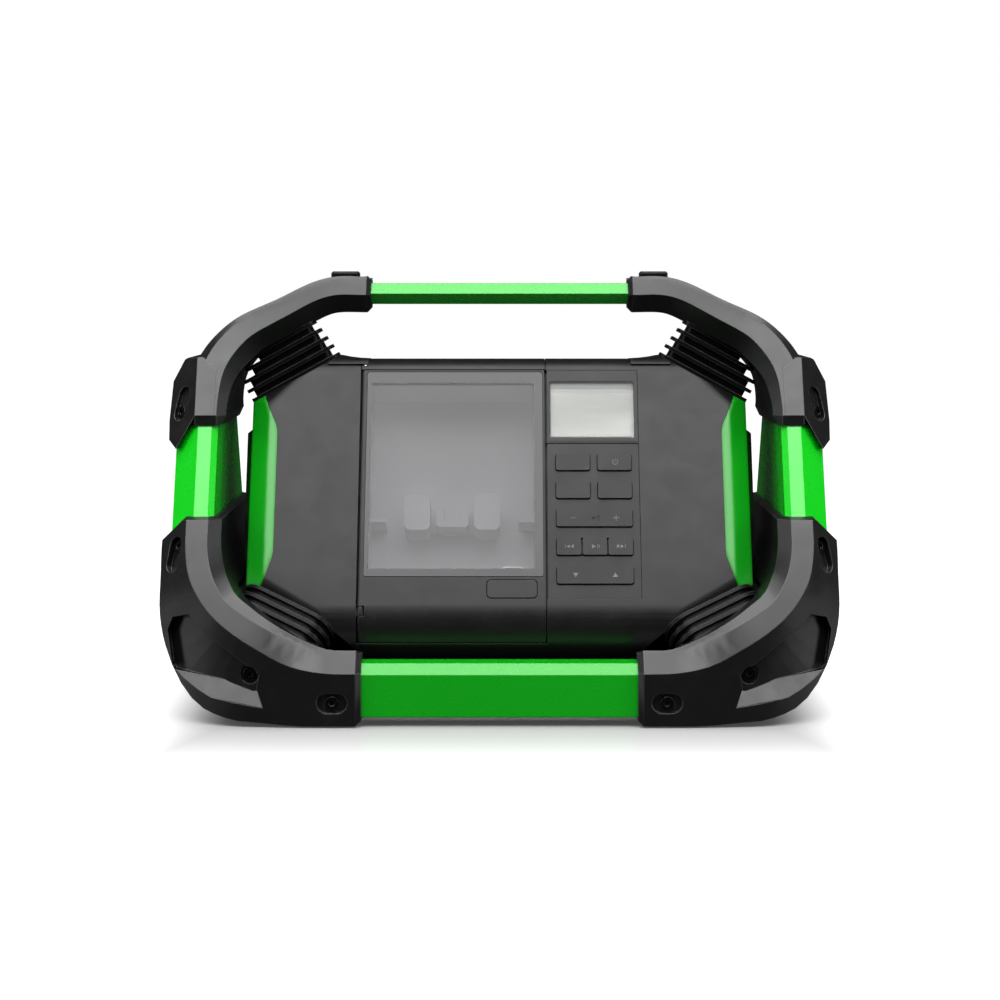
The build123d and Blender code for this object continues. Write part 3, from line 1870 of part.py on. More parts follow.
cover_box = (
    battery_left - cover_grow,
    battery_right + cover_grow,
    battery_low - cover_grow,
    battery_high + cover_grow,
)
cover_pin_height = cover_box[2] + cover_thickness / 2
cover_pin_depth = cover_thickness / 2
cover_pin_length = 11.0
cover_latch_width = 22.0
cover_latch_height = 8.0
cover_latch_travel = 3.0
cover_latch_low = cover_box[3] - 18.0


def cover_pins(grow, extra):
    """Pivot pins at the lower corners of the battery cover, along X."""
    with BuildPart() as pins:
        for x, direction in ((cover_box[0] + 8, -1), (cover_box[1] - 8, 1)):
            origin = back_plane.from_local_coords((-x, cover_pin_height, -cover_pin_depth))
            with BuildSketch(Plane(origin=origin, z_dir=(direction, 0, 0))):
                Circle(cover_pin_radius + grow)
            extrude(amount=cover_pin_length + extra)
    return pins.part


with BuildPart() as battery_cover:
    add(back_block(*cover_box, 0, cover_thickness))
    low_edges = (
        battery_cover.edges().filter_by(Axis.X).group_by(Axis.Z)[0]
        + battery_cover.edges().filter_by(Axis.X).group_by(Axis.Z)[1]
    )
    fillet(low_edges, cover_thickness / 2 - 0.05)
    add(
        back_block(
            (cover_box[0] + cover_box[1]) / 2 - cover_latch_width / 2 - 0.5,
            (cover_box[0] + cover_box[1]) / 2 + cover_latch_width / 2 + 0.5,
            cover_latch_low - cover_latch_travel - 0.5,
            cover_latch_low + cover_latch_height + 0.5,
            -1,
            1.5 + fit_gap,
        ),
        mode=Mode.SUBTRACT,
    )
    add(cover_pins(pin_gap, 0), mode=Mode.SUBTRACT)
save(battery_cover, "battery_cover")

with BuildPart() as battery_latch:
    add(
        back_block(
            (cover_box[0] + cover_box[1]) / 2 - cover_latch_width / 2,
            (cover_box[0] + cover_box[1]) / 2 + cover_latch_width / 2,
            cover_latch_low,
            cover_latch_low + cover_latch_height,
            -1.0,
            1.5,
            1.2,
        )
    )
save(battery_latch, "battery_latch")

with BuildPart() as cover_hinge_pin:
    add(cover_pins(0, 0))
save(cover_hinge_pin, "cover_hinge_pin")

inlet_bore = 2.8
with BuildPart() as power_inlet:
    with BuildSketch(back_plane.offset(1.2)):
        with Locations((-inlet_place[0], inlet_place[1])):
            Circle(inlet_radius + 2.5)
    extrude(amount=-1.2)
    with BuildSketch(back_plane):
        with Locations((-inlet_place[0], inlet_place[1])):
            Circle(inlet_radius - 0.1)
    extrude(amount=-14)
    with BuildSketch(back_plane.offset(2)):
        with Locations((-inlet_place[0], inlet_place[1])):
            Circle(inlet_bore)
    extrude(amount=-12, mode=Mode.SUBTRACT)
    with BuildSketch(back_plane.offset(-1)):
        with Locations((-inlet_place[0], inlet_place[1])):
            Circle(0.9)
    extrude(amount=-10)
save(power_inlet, "power_inlet")

# ---------------------------------------------------------------- finished shells

post_places = [
    (x, y)
    for x in (amplifier_box[0] + 6, amplifier_box[1] - 6)
    for y in (amplifier_box[2] + 6, amplifier_box[3] - 6)
]
with BuildPart() as front_shell:
    add(casing.part)
    with BuildSketch(Plane.XY.offset(body_bottom + wall / 2)):
        with Locations(*post_places):
            Circle(post_radius)
    extrude(amount=amplifier_height - body_bottom - wall / 2)
    add(screw_cuts.part, mode=Mode.SUBTRACT)
    add(door_pins(pin_gap, fit_gap), mode=Mode.SUBTRACT)
    split(bisect_by=Plane.XZ, keep=Keep.TOP)
save(front_shell, "front_shell")

with BuildPart() as rear_shell:
    add(casing.part)
    add(screw_cuts.part, mode=Mode.SUBTRACT)
    add(cover_pins(pin_gap, fit_gap), mode=Mode.SUBTRACT)
    split(bisect_by=Plane.XZ, keep=Keep.BOTTOM)
save(rear_shell, "rear_shell")
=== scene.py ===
"""Looks of the jobsite radio: a speaker body hung in an A-shaped cage of bumpers and green bars."""

from math import radians

import bmesh
import bpy
from mathutils import Matrix, Vector


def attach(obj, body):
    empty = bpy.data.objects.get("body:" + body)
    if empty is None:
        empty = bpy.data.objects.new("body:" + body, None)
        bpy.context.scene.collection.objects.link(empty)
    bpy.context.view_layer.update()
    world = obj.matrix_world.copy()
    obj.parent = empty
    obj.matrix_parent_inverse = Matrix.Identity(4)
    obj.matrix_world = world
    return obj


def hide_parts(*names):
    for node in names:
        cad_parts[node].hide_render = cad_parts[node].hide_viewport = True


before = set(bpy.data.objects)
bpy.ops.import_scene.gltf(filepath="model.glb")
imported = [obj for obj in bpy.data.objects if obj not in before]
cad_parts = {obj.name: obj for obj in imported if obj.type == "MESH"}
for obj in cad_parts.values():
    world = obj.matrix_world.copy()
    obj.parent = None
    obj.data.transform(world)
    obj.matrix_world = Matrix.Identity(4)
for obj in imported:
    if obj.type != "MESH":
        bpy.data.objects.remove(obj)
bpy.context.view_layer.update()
scene = bpy.context.scene
scene.view_settings.view_transform = "Standard"

# ---------------------------------------------------------------- camera and studio
# A long lens a little above the handle, looking down at the front. The floor and the world behind
# are white to the camera, and the floor keeps the radio's soft shadow. Close to the radio the floor
# glows less to the camera, which paints a soft shade round its base.

camera_distance = 1.650
camera_height = 0.3142
camera_dip = 5.83
camera_data = bpy.data.cameras.new("camera")
camera_data.sensor_width = 36.0
camera_data.lens = 79.31
camera_data.shift_x = 0.0005
camera_data.clip_end = 50.0
camera = bpy.data.objects.new("camera", camera_data)
camera.location = (0.0, -camera_distance, camera_height)
camera.rotation_euler = (radians(90 - camera_dip), 0, 0)
scene.collection.objects.link(camera)
scene.camera = camera


def wire(tree, source, target):
    """Joins an output socket to an input socket."""
    tree.links.new(source, target)


def arithmetic(tree, operation, *values):
    """Maths node on sockets or numbers."""
    node = tree.nodes.new("ShaderNodeMath")
    node.operation = operation
    for index, value in enumerate(values):
        if isinstance(value, (int, float)):
            node.inputs[index].default_value = value
        else:
            wire(tree, value, node.inputs[index])
    return node.outputs[0]


def remap(tree, value, low, high, out_low, out_high, ramp="LINEAR"):
    """Range of a value spread over another range, ends given as numbers or sockets."""
    node = tree.nodes.new("ShaderNodeMapRange")
    node.interpolation_type = ramp
    wire(tree, value, node.inputs["Value"])
    ends = {"From Min": low, "From Max": high, "To Min": out_low, "To Max": out_high}
    for label, number in ends.items():
        if isinstance(number, (int, float)):
            node.inputs[label].default_value = number
        else:
            wire(tree, number, node.inputs[label])
    return node.outputs["Result"]


def seen_directly(tree):
    """One where the camera looks, straight or through glass, and nought for other light."""
    path = tree.nodes.new("ShaderNodeLightPath")
    straight, through = path.outputs["Is Camera Ray"], path.outputs["Is Transmission Ray"]
    return arithmetic(tree, "MAXIMUM", straight, through), path.outputs["Is Glossy Ray"]


world = bpy.data.worlds.new("studio")
scene.world = world
world.use_nodes = True
sky = world.node_tree.nodes["Background"]
sky.inputs["Color"].default_value = (1, 1, 1, 1)
sky_tree = world.node_tree
sky_light = 0.15
sky_in_gloss = 0.03
sky_seen, sky_gloss = seen_directly(sky_tree)
sky_plain = remap(sky_tree, sky_gloss, 0, 1, sky_light, sky_in_gloss)
wire(sky_tree, remap(sky_tree, sky_seen, 0, 1, sky_plain, 1.0), sky.inputs["Strength"])

floor_mesh = bmesh.new()
bmesh.ops.create_grid(floor_mesh, x_segments=1, y_segments=1, size=8.0)
floor_data = bpy.data.meshes.new("floor")
floor_mesh.to_mesh(floor_data)
floor_mesh.free()
floor = bpy.data.objects.new("floor", floor_data)
scene.collection.objects.link(floor)
floor_paint = bpy.data.materials.new("studio_floor")
floor_paint.use_nodes = True
floor_tree = floor_paint.node_tree
floor_shader = floor_tree.nodes["Principled BSDF"]
floor_shader.inputs["Roughness"].default_value = 0.3
floor_shader.inputs["Specular IOR Level"].default_value = 0.25
floor_shader.inputs["Emission Color"].default_value = (1, 1, 1, 1)
floor_bounce = 0.03
floor_shade = 0.52
floor_seen = seen_directly(floor_tree)[0]
floor_tone = floor_tree.nodes.new("ShaderNodeCombineColor")
floor_grey = remap(floor_tree, floor_seen, 0, 1, floor_bounce, floor_shade)
for channel in ("Red", "Green", "Blue"):
    wire(floor_tree, floor_grey, floor_tone.inputs[channel])
wire(floor_tree, floor_tone.outputs[0], floor_shader.inputs["Base Color"])
floor_place = floor_tree.nodes.new("ShaderNodeTexCoord").outputs["Object"]
floor_parts = floor_tree.nodes.new("ShaderNodeSeparateXYZ")
wire(floor_tree, floor_place, floor_parts.inputs[0])
floor_aside = arithmetic(floor_tree, "ABSOLUTE", floor_parts.outputs["X"])
floor_ahead = arithmetic(floor_tree, "ABSOLUTE", floor_parts.outputs["Y"])
# Painted shade: the floor is mid grey to the camera, and its glow fades out near the radio, so a grey
# pool lies round the base besides the real shadow of the lamps.
painted_shade_sides = (0.19, 0.27)
painted_shade_ends = (0.12, 0.36)
outside_painted_shade = arithmetic(
    floor_tree,
    "MAXIMUM",
    remap(floor_tree, floor_aside, *painted_shade_sides, 0.0, 1.0, "SMOOTHSTEP"),
    remap(floor_tree, floor_ahead, *painted_shade_ends, 0.0, 1.0, "SMOOTHSTEP"),
)
floor_glow = remap(floor_tree, outside_painted_shade, 0.0, 1.0, 0.05, 1.0)
floor_white = arithmetic(floor_tree, "MULTIPLY", floor_seen, floor_glow)
wire(floor_tree, floor_white, floor_shader.inputs["Emission Strength"])
floor_data.materials.append(floor_paint)


def softbox(name, place, aim, width, height, watts):
    """Rectangular studio lamp that faces a point."""
    data = bpy.data.lights.new(name, "AREA")
    data.shape = "RECTANGLE"
    data.size = width
    data.size_y = height
    data.energy = watts
    lamp = bpy.data.objects.new(name, data)
    lamp.location = place
    lamp.rotation_euler = (Vector(aim) - Vector(place)).to_track_quat("-Z", "Y").to_euler()
    scene.collection.objects.link(lamp)


softbox("front_softbox", (0.0, -1.25, 1.70), (0, 0, 0.15), 2.6, 0.9, 33)
softbox("top_softbox", (0.0, -0.1, 2.2), (0, 0, 0.1), 2.4, 1.2, 34)
softbox("left_strip", (-1.7, -0.7, 0.8), (0, 0, 0.15), 0.5, 1.4, 8)
softbox("right_strip", (1.7, -0.7, 0.8), (0, 0, 0.15), 0.5, 1.4, 8)

# ---------------------------------------------------------------- green aluminium bars
# Extruded tubes with a thick satin lacquer in bright green: the round-edged carrying
# handle, the deep tapered guards at the sides and the bevelled bars along the bottom.


def effect_group(name, inputs, outputs):
    """Empty shader group with named sockets."""
    group = bpy.data.node_groups.new(name, "ShaderNodeTree")
    for label, kind, value in inputs:
        socket = group.interface.new_socket(label, in_out="INPUT", socket_type=kind)
        socket.default_value = value
    for label, kind in outputs:
        group.interface.new_socket(label, in_out="OUTPUT", socket_type=kind)
    return group, group.nodes.new("NodeGroupInput"), group.nodes.new("NodeGroupOutput")


def noise(tree, coordinates, scale, detail, roughness=0.5):
    """Noise over object coordinates."""
    texture = tree.nodes.new("ShaderNodeTexNoise")
    if isinstance(scale, (int, float)):
        texture.inputs["Scale"].default_value = scale
    else:
        wire(tree, scale, texture.inputs["Scale"])
    texture.inputs["Detail"].default_value = detail
    texture.inputs["Roughness"].default_value = roughness
    wire(tree, coordinates, texture.inputs["Vector"])
    return texture.outputs["Fac"]


def colour_mix(tree, factor, first, second, mode="MIX"):
    """Colour mix of two sockets or colours."""
    node = tree.nodes.new("ShaderNodeMix")
    node.data_type = "RGBA"
    node.blend_type = mode
    for socket, value in ((node.inputs[0], factor), (node.inputs[6], first), (node.inputs[7], second)):
        if isinstance(value, (int, float, tuple)):
            socket.default_value = value
        else:
            wire(tree, value, socket)
    return node.outputs[2]


def grey(tree, value):
    """Grey colour of a value."""
    node = tree.nodes.new("ShaderNodeCombineColor")
    for channel in ("Red", "Green", "Blue"):
        wire(tree, value, node.inputs[channel])
    return node.outputs[0]


# Surface life: colour drift, faint dust specks, uneven sheen and the grain of the mould
surface_life, life_in, life_out = effect_group(
    "surface_life",
    [
        ("Color", "NodeSocketColor", (0.1, 0.1, 0.1, 1)),
        ("Drift", "NodeSocketFloat", 0.1),
        ("Roughness", "NodeSocketFloat", 0.4),
        ("Grain Scale", "NodeSocketFloat", 1800.0),
        ("Dust", "NodeSocketFloat", 0.05),
    ],
    [("Color", "NodeSocketColor"), ("Roughness", "NodeSocketFloat"), ("Height", "NodeSocketFloat")],
)
life_place = surface_life.nodes.new("ShaderNodeTexCoord").outputs["Object"]
clouds = noise(surface_life, life_place, 9.0, 3.0, 0.6)
patches = noise(surface_life, life_place, 60.0, 4.0, 0.65)
grain = noise(surface_life, life_place, life_in.outputs["Grain Scale"], 2.0)
cloud_shade = remap(surface_life, clouds, 0.3, 0.7, -1.0, 1.0)
drift = arithmetic(surface_life, "MULTIPLY", cloud_shade, life_in.outputs["Drift"])
tone = arithmetic(surface_life, "ADD", drift, 1.0)
tone_grey = grey(surface_life, tone)
shaded = colour_mix(surface_life, 1.0, life_in.outputs["Color"], tone_grey, "MULTIPLY")
speck = remap(surface_life, patches, 0.62, 0.78, 0.0, 1.0)
dusty = arithmetic(surface_life, "MULTIPLY", speck, life_in.outputs["Dust"])
dust_colour = (0.45, 0.44, 0.42, 1)
wire(surface_life, colour_mix(surface_life, dusty, shaded, dust_colour), life_out.inputs["Color"])
sheen_drift = remap(surface_life, patches, 0.3, 0.7, -0.04, 0.05)
rough = arithmetic(surface_life, "ADD", life_in.outputs["Roughness"], sheen_drift)
wire(surface_life, rough, life_out.inputs["Roughness"])
wire(surface_life, grain, life_out.inputs["Height"])

# Edge wear and highlight: a paler colour on the edges, which is rubbing and, on the dark plastic and
# rubber, a painted highlight, broken up by noise, and the rounding that every real edge has
edge_wear_and_highlight, wear_and_highlight_in, wear_and_highlight_out = effect_group(
    "edge_wear_and_highlight",
    [
        ("Radius", "NodeSocketFloat", 0.001),
        ("Amount", "NodeSocketFloat", 0.5),
    ],
    [("Mask", "NodeSocketFloat"), ("Normal", "NodeSocketVector")],
)
rounding = edge_wear_and_highlight.nodes.new("ShaderNodeBevel")
rounding.samples = 6
wire(edge_wear_and_highlight, wear_and_highlight_in.outputs["Radius"], rounding.inputs["Radius"])
facing = edge_wear_and_highlight.nodes.new("ShaderNodeVectorMath")
facing.operation = "DOT_PRODUCT"
wire(edge_wear_and_highlight, rounding.outputs["Normal"], facing.inputs[0])
true_face = edge_wear_and_highlight.nodes.new("ShaderNodeNewGeometry")
wire(edge_wear_and_highlight, true_face.outputs["Normal"], facing.inputs[1])
flat_face, edge_full_facing = 0.995, 0.90
edge_mask = remap(edge_wear_and_highlight, facing.outputs["Value"], flat_face, edge_full_facing, 0.0, 1.0)
edge_place = edge_wear_and_highlight.nodes.new("ShaderNodeTexCoord").outputs["Object"]
wear_and_highlight_noise = noise(edge_wear_and_highlight, edge_place, 70.0, 4.0, 0.7)
wear_and_highlight_breakup = remap(edge_wear_and_highlight, wear_and_highlight_noise, 0.42, 0.62, 0.5, 1.0)
broken_wear_and_highlight = arithmetic(edge_wear_and_highlight, "MULTIPLY", edge_mask, wear_and_highlight_breakup)
wear_and_highlight_mask = arithmetic(edge_wear_and_highlight, "MULTIPLY", broken_wear_and_highlight, wear_and_highlight_in.outputs["Amount"])
wire(edge_wear_and_highlight, wear_and_highlight_mask, wear_and_highlight_out.inputs["Mask"])
wire(edge_wear_and_highlight, rounding.outputs["Normal"], wear_and_highlight_out.inputs["Normal"])


def finish(name, colour, roughness, wear_and_highlight_colour, drift=0.08, dust=0.02, grain_scale=1800.0, bump=0.1,
           depth=0.0002, radius=0.0007, wear_and_highlight=0.5, **sockets):
    """Moulded, painted or rubber surface, whose edges have another colour: wear, and on dark pieces a
    painted highlight as well.

    The drift is how far the colour wanders, bump and depth are those of the grain, radius is
    the rounding of the edges, and the other names are sockets of the shader.
    """
    material = bpy.data.materials.new(name)
    material.use_nodes = True
    tree = material.node_tree
    shader = tree.nodes["Principled BSDF"]
    life = tree.nodes.new("ShaderNodeGroup")
    life.node_tree = surface_life
    life.inputs["Color"].default_value = (*colour, 1)
    life.inputs["Drift"].default_value = drift
    life.inputs["Roughness"].default_value = roughness
    life.inputs["Grain Scale"].default_value = grain_scale
    life.inputs["Dust"].default_value = dust
    edges = tree.nodes.new("ShaderNodeGroup")
    edges.node_tree = edge_wear_and_highlight
    edges.inputs["Radius"].default_value = radius
    edges.inputs["Amount"].default_value = wear_and_highlight
    wire(
        tree,
        colour_mix(tree, edges.outputs["Mask"], life.outputs["Color"], (*wear_and_highlight_colour, 1)),
        shader.inputs["Base Color"],
    )
    wire(tree, life.outputs["Roughness"], shader.inputs["Roughness"])
    relief = tree.nodes.new("ShaderNodeBump")
    relief.inputs["Strength"].default_value = bump
    relief.inputs["Distance"].default_value = depth
    wire(tree, life.outputs["Height"], relief.inputs["Height"])
    wire(tree, edges.outputs["Normal"], relief.inputs["Normal"])
    wire(tree, relief.outputs["Normal"], shader.inputs["Normal"])
    for label, value in sockets.items():
        shader.inputs[label.replace("_", " ")].default_value = value
    return material


def dress(material, *names):
    """Gives CAD nodes a material."""
    for name in names:
        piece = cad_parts[name]
        piece.data.materials.clear()
        piece.data.materials.append(material)


def both(name):
    """Left and right names of a pair."""
    return f"{name}_left", f"{name}_right"


bar_lacquer = finish(
    "green_lacquer", (0.004, 0.50, 0.010), 0.26, (0.02, 0.58, 0.03), drift=0.02, dust=0.0,
    grain_scale=900.0, bump=0.03, depth=0.0001, radius=0.0012, wear_and_highlight=0.15,
    Coat_Weight=0.5, Coat_Roughness=0.12,
)
dress(bar_lacquer, "top_handle_bar", "bottom_bar_front", "bottom_bar_rear")
# The guards take the same green lacquer made lighter, which is painted light on their flanks.
guard_lacquer_painted_light = finish(
    "guard_lacquer_painted_light", (0.005, 0.78, 0.014), 0.26, (0.02, 0.80, 0.03), drift=0.02, dust=0.0,
    grain_scale=900.0, bump=0.02, depth=0.0001, radius=0.0012, wear_and_highlight=0.15,
    Coat_Weight=0.5, Coat_Roughness=0.12,
)
dress(guard_lacquer_painted_light, *both("side_guard"))

# ---------------------------------------------------------------- corner bumpers
# Thick satin polyamide mouldings, bolted over the ends of the bars. Their ridges are crisp, and
# their curves run smoothly round the corners. The pale colour on their edges is a painted highlight
# with a little wear.


weld_gap = 0.000004
flat_face_weight = 80


def smoothed(name, body, material, crease=24.0):
    """Stands in for a CAD node: the same form, merged and smoothly shaded up to its creases."""
    form = bmesh.new()
    form.from_mesh(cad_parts[name].data)
    bmesh.ops.remove_doubles(form, verts=form.verts, dist=weld_gap)
    data = bpy.data.meshes.new(f"{name}_form")
    form.to_mesh(data)
    form.free()
    for stale in ("custom_normal", "sharp_edge", "sharp_face"):
        if stale in data.attributes:
            data.attributes.remove(data.attributes[stale])
    data.shade_smooth()
    data.set_sharp_from_angle(angle=radians(crease))
    data.materials.append(material)
    piece = bpy.data.objects.new(f"{name}_form", data)
    scene.collection.objects.link(piece)
    flats = piece.modifiers.new("flats", "WEIGHTED_NORMAL")
    flats.keep_sharp = True
    flats.weight = flat_face_weight
    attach(piece, body)
    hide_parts(name)


# The pale grey on the bumpers' edges is mostly a painted highlight, with a little wear.
bumper_plastic = finish(
    "bumper_plastic", (0.006, 0.006, 0.0063), 0.32, (0.15, 0.15, 0.155), drift=0.12, dust=0.01,
    grain_scale=1500.0, bump=0.08, radius=0.0008, wear_and_highlight=0.9, Specular_IOR_Level=0.8,
)
for bumper in (*both("upper_bumper"), *both("lower_bumper")):
    smoothed(bumper, "radio", bumper_plastic, 20.0)

# ---------------------------------------------------------------- rubber pieces
# Elastic mounts stacked from plates, the feet, the door seal and the caps over the
# handle bolts, all pressed from black rubber.

# The pale colour on the rubber's edges is a painted highlight along with some wear.
rubber = finish(
    "black_rubber", (0.004, 0.004, 0.004), 0.38, (0.17, 0.17, 0.17), drift=0.1, dust=0.02,
    grain_scale=2200.0, bump=0.08, radius=0.0005, wear_and_highlight=0.9, Specular_IOR_Level=0.22,
)
dress(
    rubber,
    *both("damper_upper"),
    *both("damper_lower_front"),
    *both("damper_lower_rear"),
    "handle_caps",
    "foot_pads",
    "door_seal",
)

# ---------------------------------------------------------------- bolts and pins
# Socket-head bolts with a black oxide skin hold the bumpers on the bars and the two
# shells together. The pivot pins of the door and the battery cover are bright turned
# steel, as is the charging socket in the tub.

bolt_black = finish(
    "black_oxide", (0.03, 0.03, 0.03), 0.32, (0.2, 0.2, 0.2), drift=0.1, dust=0.0, grain_scale=3000.0,
    bump=0.05, depth=0.0001, radius=0.0004, Metallic=1.0,
)
dress(bolt_black, "bumper_bolts", "shell_screws")
steel = finish(
    "bright_steel", (0.6, 0.6, 0.6), 0.3, (0.75, 0.75, 0.75), drift=0.05, dust=0.0, grain_scale=3000.0,
    bump=0.05, depth=0.0001, radius=0.0002, Metallic=1.0,
)
dress(steel, "door_hinge_pin", "cover_hinge_pin", "usb_socket")

# ---------------------------------------------------------------- body shells
# Two satin black shells of fine-grained plastic, softly bent towards the corners, with
# the battery cover and the grille of the large loudspeaker in the rear one.

shell_plastic = finish(
    "shell_plastic", (0.007, 0.007, 0.0073), 0.40, (0.04, 0.04, 0.04), drift=0.05, dust=0.01,
    grain_scale=2600.0, bump=0.08, depth=0.0001, radius=0.0006, wear_and_highlight=0.3,
)
dress(shell_plastic, "battery_cover", "rear_grille", *both("speaker_grille"))
for shell in ("front_shell", "rear_shell"):
    smoothed(shell, "radio", shell_plastic, 34.0)

# ---------------------------------------------------------------- side panels
# Green moulded rings, clipped round the corner of the body, with the louvred grilles
# of the side loudspeakers in them.

panel_green = finish(
    "panel_green", (0.003, 0.37, 0.008), 0.32, (0.03, 0.45, 0.04), drift=0.03, dust=0.0,
    grain_scale=1500.0, bump=0.03, depth=0.0001, radius=0.0045, wear_and_highlight=0.1, Coat_Weight=0.5,
    Coat_Roughness=0.15,
)
for ring in both("accent_ring"):
    smoothed(ring, "radio", panel_green)
cone_black = finish(
    "cone_fibre", (0.012, 0.012, 0.012), 0.7, (0.03, 0.03, 0.03), drift=0.2, dust=0.05,
    grain_scale=2500.0, bump=0.3, depth=0.0003, wear_and_highlight=0.1,
)
dress(cone_black, *both("speaker_cone"), "woofer_cone")
basket_black = finish("basket_paint", (0.02, 0.02, 0.02), 0.45, (0.08, 0.08, 0.08))
dress(basket_black, *both("speaker_basket"), "woofer_basket", "power_inlet")

# ---------------------------------------------------------------- inside the body
# A black battery pack lies in its bay under a cover with a sliding latch, and two
# circuit boards with green solder mask are screwed inside the shells.

battery_case = finish("battery_case", (0.016, 0.016, 0.017), 0.45, (0.05, 0.05, 0.05))
dress(battery_case, "battery_pack", "battery_latch")
board_green = finish("board_green", (0.01, 0.11, 0.04), 0.3, (0.2, 0.22, 0.1))
dress(board_green, "main_board", "amplifier_board")

# ---------------------------------------------------------------- storage tub
# A deep moulded tub in light grey makes a watertight room behind the door. A clip with
# two jaws, screwed to its floor, holds a music player.

tub_grey = finish(
    "tub_grey", (0.50, 0.50, 0.53), 0.6, (0.56, 0.56, 0.58), drift=0.04, dust=0.0, grain_scale=700.0,
    bump=0.02, wear_and_highlight=0.3, Specular_IOR_Level=0.2,
)
dress(tub_grey, "storage_tub", "phone_clip")

# ---------------------------------------------------------------- storage door
# Moulded frame with a smoked pane, printed grey round a clear field on its inner side,
# and a press button in the lower part.

smoothed("door_frame", "door", shell_plastic)
lean = 0.48
slope_up = Vector((0, lean, 1)).normalized()
slope_out = Vector((0, -1, lean)).normalized()
face_start = Vector((0, -0.112, 0.0582))


def up_the_slope(tree):
    """Place across the radio and place up the leaned front, from its lower bend."""
    place = tree.nodes.new("ShaderNodeTexCoord").outputs["Object"]
    parts = tree.nodes.new("ShaderNodeSeparateXYZ")
    wire(tree, place, parts.inputs[0])
    climb = tree.nodes.new("ShaderNodeVectorMath")
    climb.operation = "DOT_PRODUCT"
    climb.inputs[1].default_value = slope_up
    wire(tree, place, climb.inputs[0])
    bend = face_start.dot(slope_up)
    return parts.outputs["X"], arithmetic(tree, "SUBTRACT", climb.outputs["Value"], bend)


def outside_box(tree, box, soft=0.0003):
    """One outside a box on the leaned front and nought inside it."""
    across, climb = up_the_slope(tree)
    left, right, low, high = box
    aside = arithmetic(tree, "SUBTRACT", across, (left + right) / 2)
    above = arithmetic(tree, "SUBTRACT", climb, (low + high) / 2)
    sides = arithmetic(tree, "ABSOLUTE", aside)
    ends = arithmetic(tree, "ABSOLUTE", above)
    past = arithmetic(
        tree,
        "MAXIMUM",
        arithmetic(tree, "SUBTRACT", sides, (right - left) / 2),
        arithmetic(tree, "SUBTRACT", ends, (high - low) / 2),
    )
    return remap(tree, past, -soft, soft, 0.0, 1.0)


clear_field = (-0.0941, 0.0253, 0.0526, 0.1964)
clear_cover = 0.30
border_grey = (0.045, 0.045, 0.048, 1)
pane_tint = bpy.data.materials.new("smoked_pane")
pane_tint.use_nodes = True
pane_tree = pane_tint.node_tree
pane_shader = pane_tree.nodes["Principled BSDF"]
printed = outside_box(pane_tree, clear_field)
pane_place = pane_tree.nodes.new("ShaderNodeTexCoord").outputs["Object"]
haze = noise(pane_tree, pane_place, 14.0, 3.0, 0.6)
pane_grey = grey(pane_tree, remap(pane_tree, haze, 0.3, 0.7, 0.24, 0.27))
pane_colour = colour_mix(pane_tree, printed, pane_grey, border_grey)
wire(pane_tree, pane_colour, pane_shader.inputs["Base Color"])
wire(pane_tree, remap(pane_tree, printed, 0, 1, clear_cover, 1.0), pane_shader.inputs["Alpha"])
wire(pane_tree, remap(pane_tree, haze, 0.3, 0.7, 0.16, 0.2), pane_shader.inputs["Roughness"])
dress(pane_tint, "door_window")
dress(shell_plastic, "door_latch")

# ---------------------------------------------------------------- display
# A black bezel carries a clear lens over the reflective panel. The panel is pale, and a painted
# shadow of the bezel lies along its top.

dress(shell_plastic, "display_bezel")
lens_clear = bpy.data.materials.new("clear_lens")
lens_clear.use_nodes = True
lens_tree = lens_clear.node_tree
lens_shader = lens_tree.nodes["Principled BSDF"]
lens_shader.inputs["Base Color"].default_value = (0.8, 0.82, 0.8, 1)
lens_shader.inputs["Alpha"].default_value = 0.07
lens_place = lens_tree.nodes.new("ShaderNodeTexCoord").outputs["Object"]
lens_haze = noise(lens_tree, lens_place, 40.0, 2.0)
wire(lens_tree, remap(lens_tree, lens_haze, 0.3, 0.7, 0.06, 0.12), lens_shader.inputs["Roughness"])
dress(lens_clear, "display_lens")
lcd = bpy.data.materials.new("lcd_panel")
lcd.use_nodes = True
lcd_tree = lcd.node_tree
lcd_shader = lcd_tree.nodes["Principled BSDF"]
lcd_shader.inputs["Roughness"].default_value = 0.4
lcd_pale = (0.92, 0.94, 0.90, 1)
lcd_paler = (0.95, 0.96, 0.92, 1)
lcd_painted_shadow_colour = (0.58, 0.59, 0.58, 1)
# Painted shadow of the bezel: the panel is darker above this line up the slope.
painted_shadow_edge = (0.1915, 0.1925)
lcd_painted_shadow = remap(lcd_tree, up_the_slope(lcd_tree)[1], *painted_shadow_edge, 0.0, 1.0)
lcd_place = lcd_tree.nodes.new("ShaderNodeTexCoord").outputs["Object"]
lcd_grain = remap(lcd_tree, noise(lcd_tree, lcd_place, 25.0, 2.0), 0.3, 0.7, 0.0, 1.0)
lcd_base = colour_mix(lcd_tree, lcd_grain, lcd_pale, lcd_paler)
lcd_colour = colour_mix(lcd_tree, lcd_painted_shadow, lcd_base, lcd_painted_shadow_colour)
wire(lcd_tree, lcd_colour, lcd_shader.inputs["Base Color"])
dress(lcd, "lcd_module")

# ---------------------------------------------------------------- keys
# Seven push keys and two rockers, moulded in rubber, stand a little out of a rubber
# surround that seals them to the body.

key_plastic = finish(
    "key_plastic", (0.010, 0.0102, 0.0104), 0.44, (0.04, 0.04, 0.04), drift=0.06, dust=0.0,
    grain_scale=2600.0, bump=0.1, depth=0.0001, radius=0.0003, wear_and_highlight=0.2,
)
dress(key_plastic, "keypad_mat", "volume_rocker", "preset_rocker")
for push_key in ("source", "power", "menu", "enter", "previous", "play", "next"):
    dress(key_plastic, f"key_{push_key}")

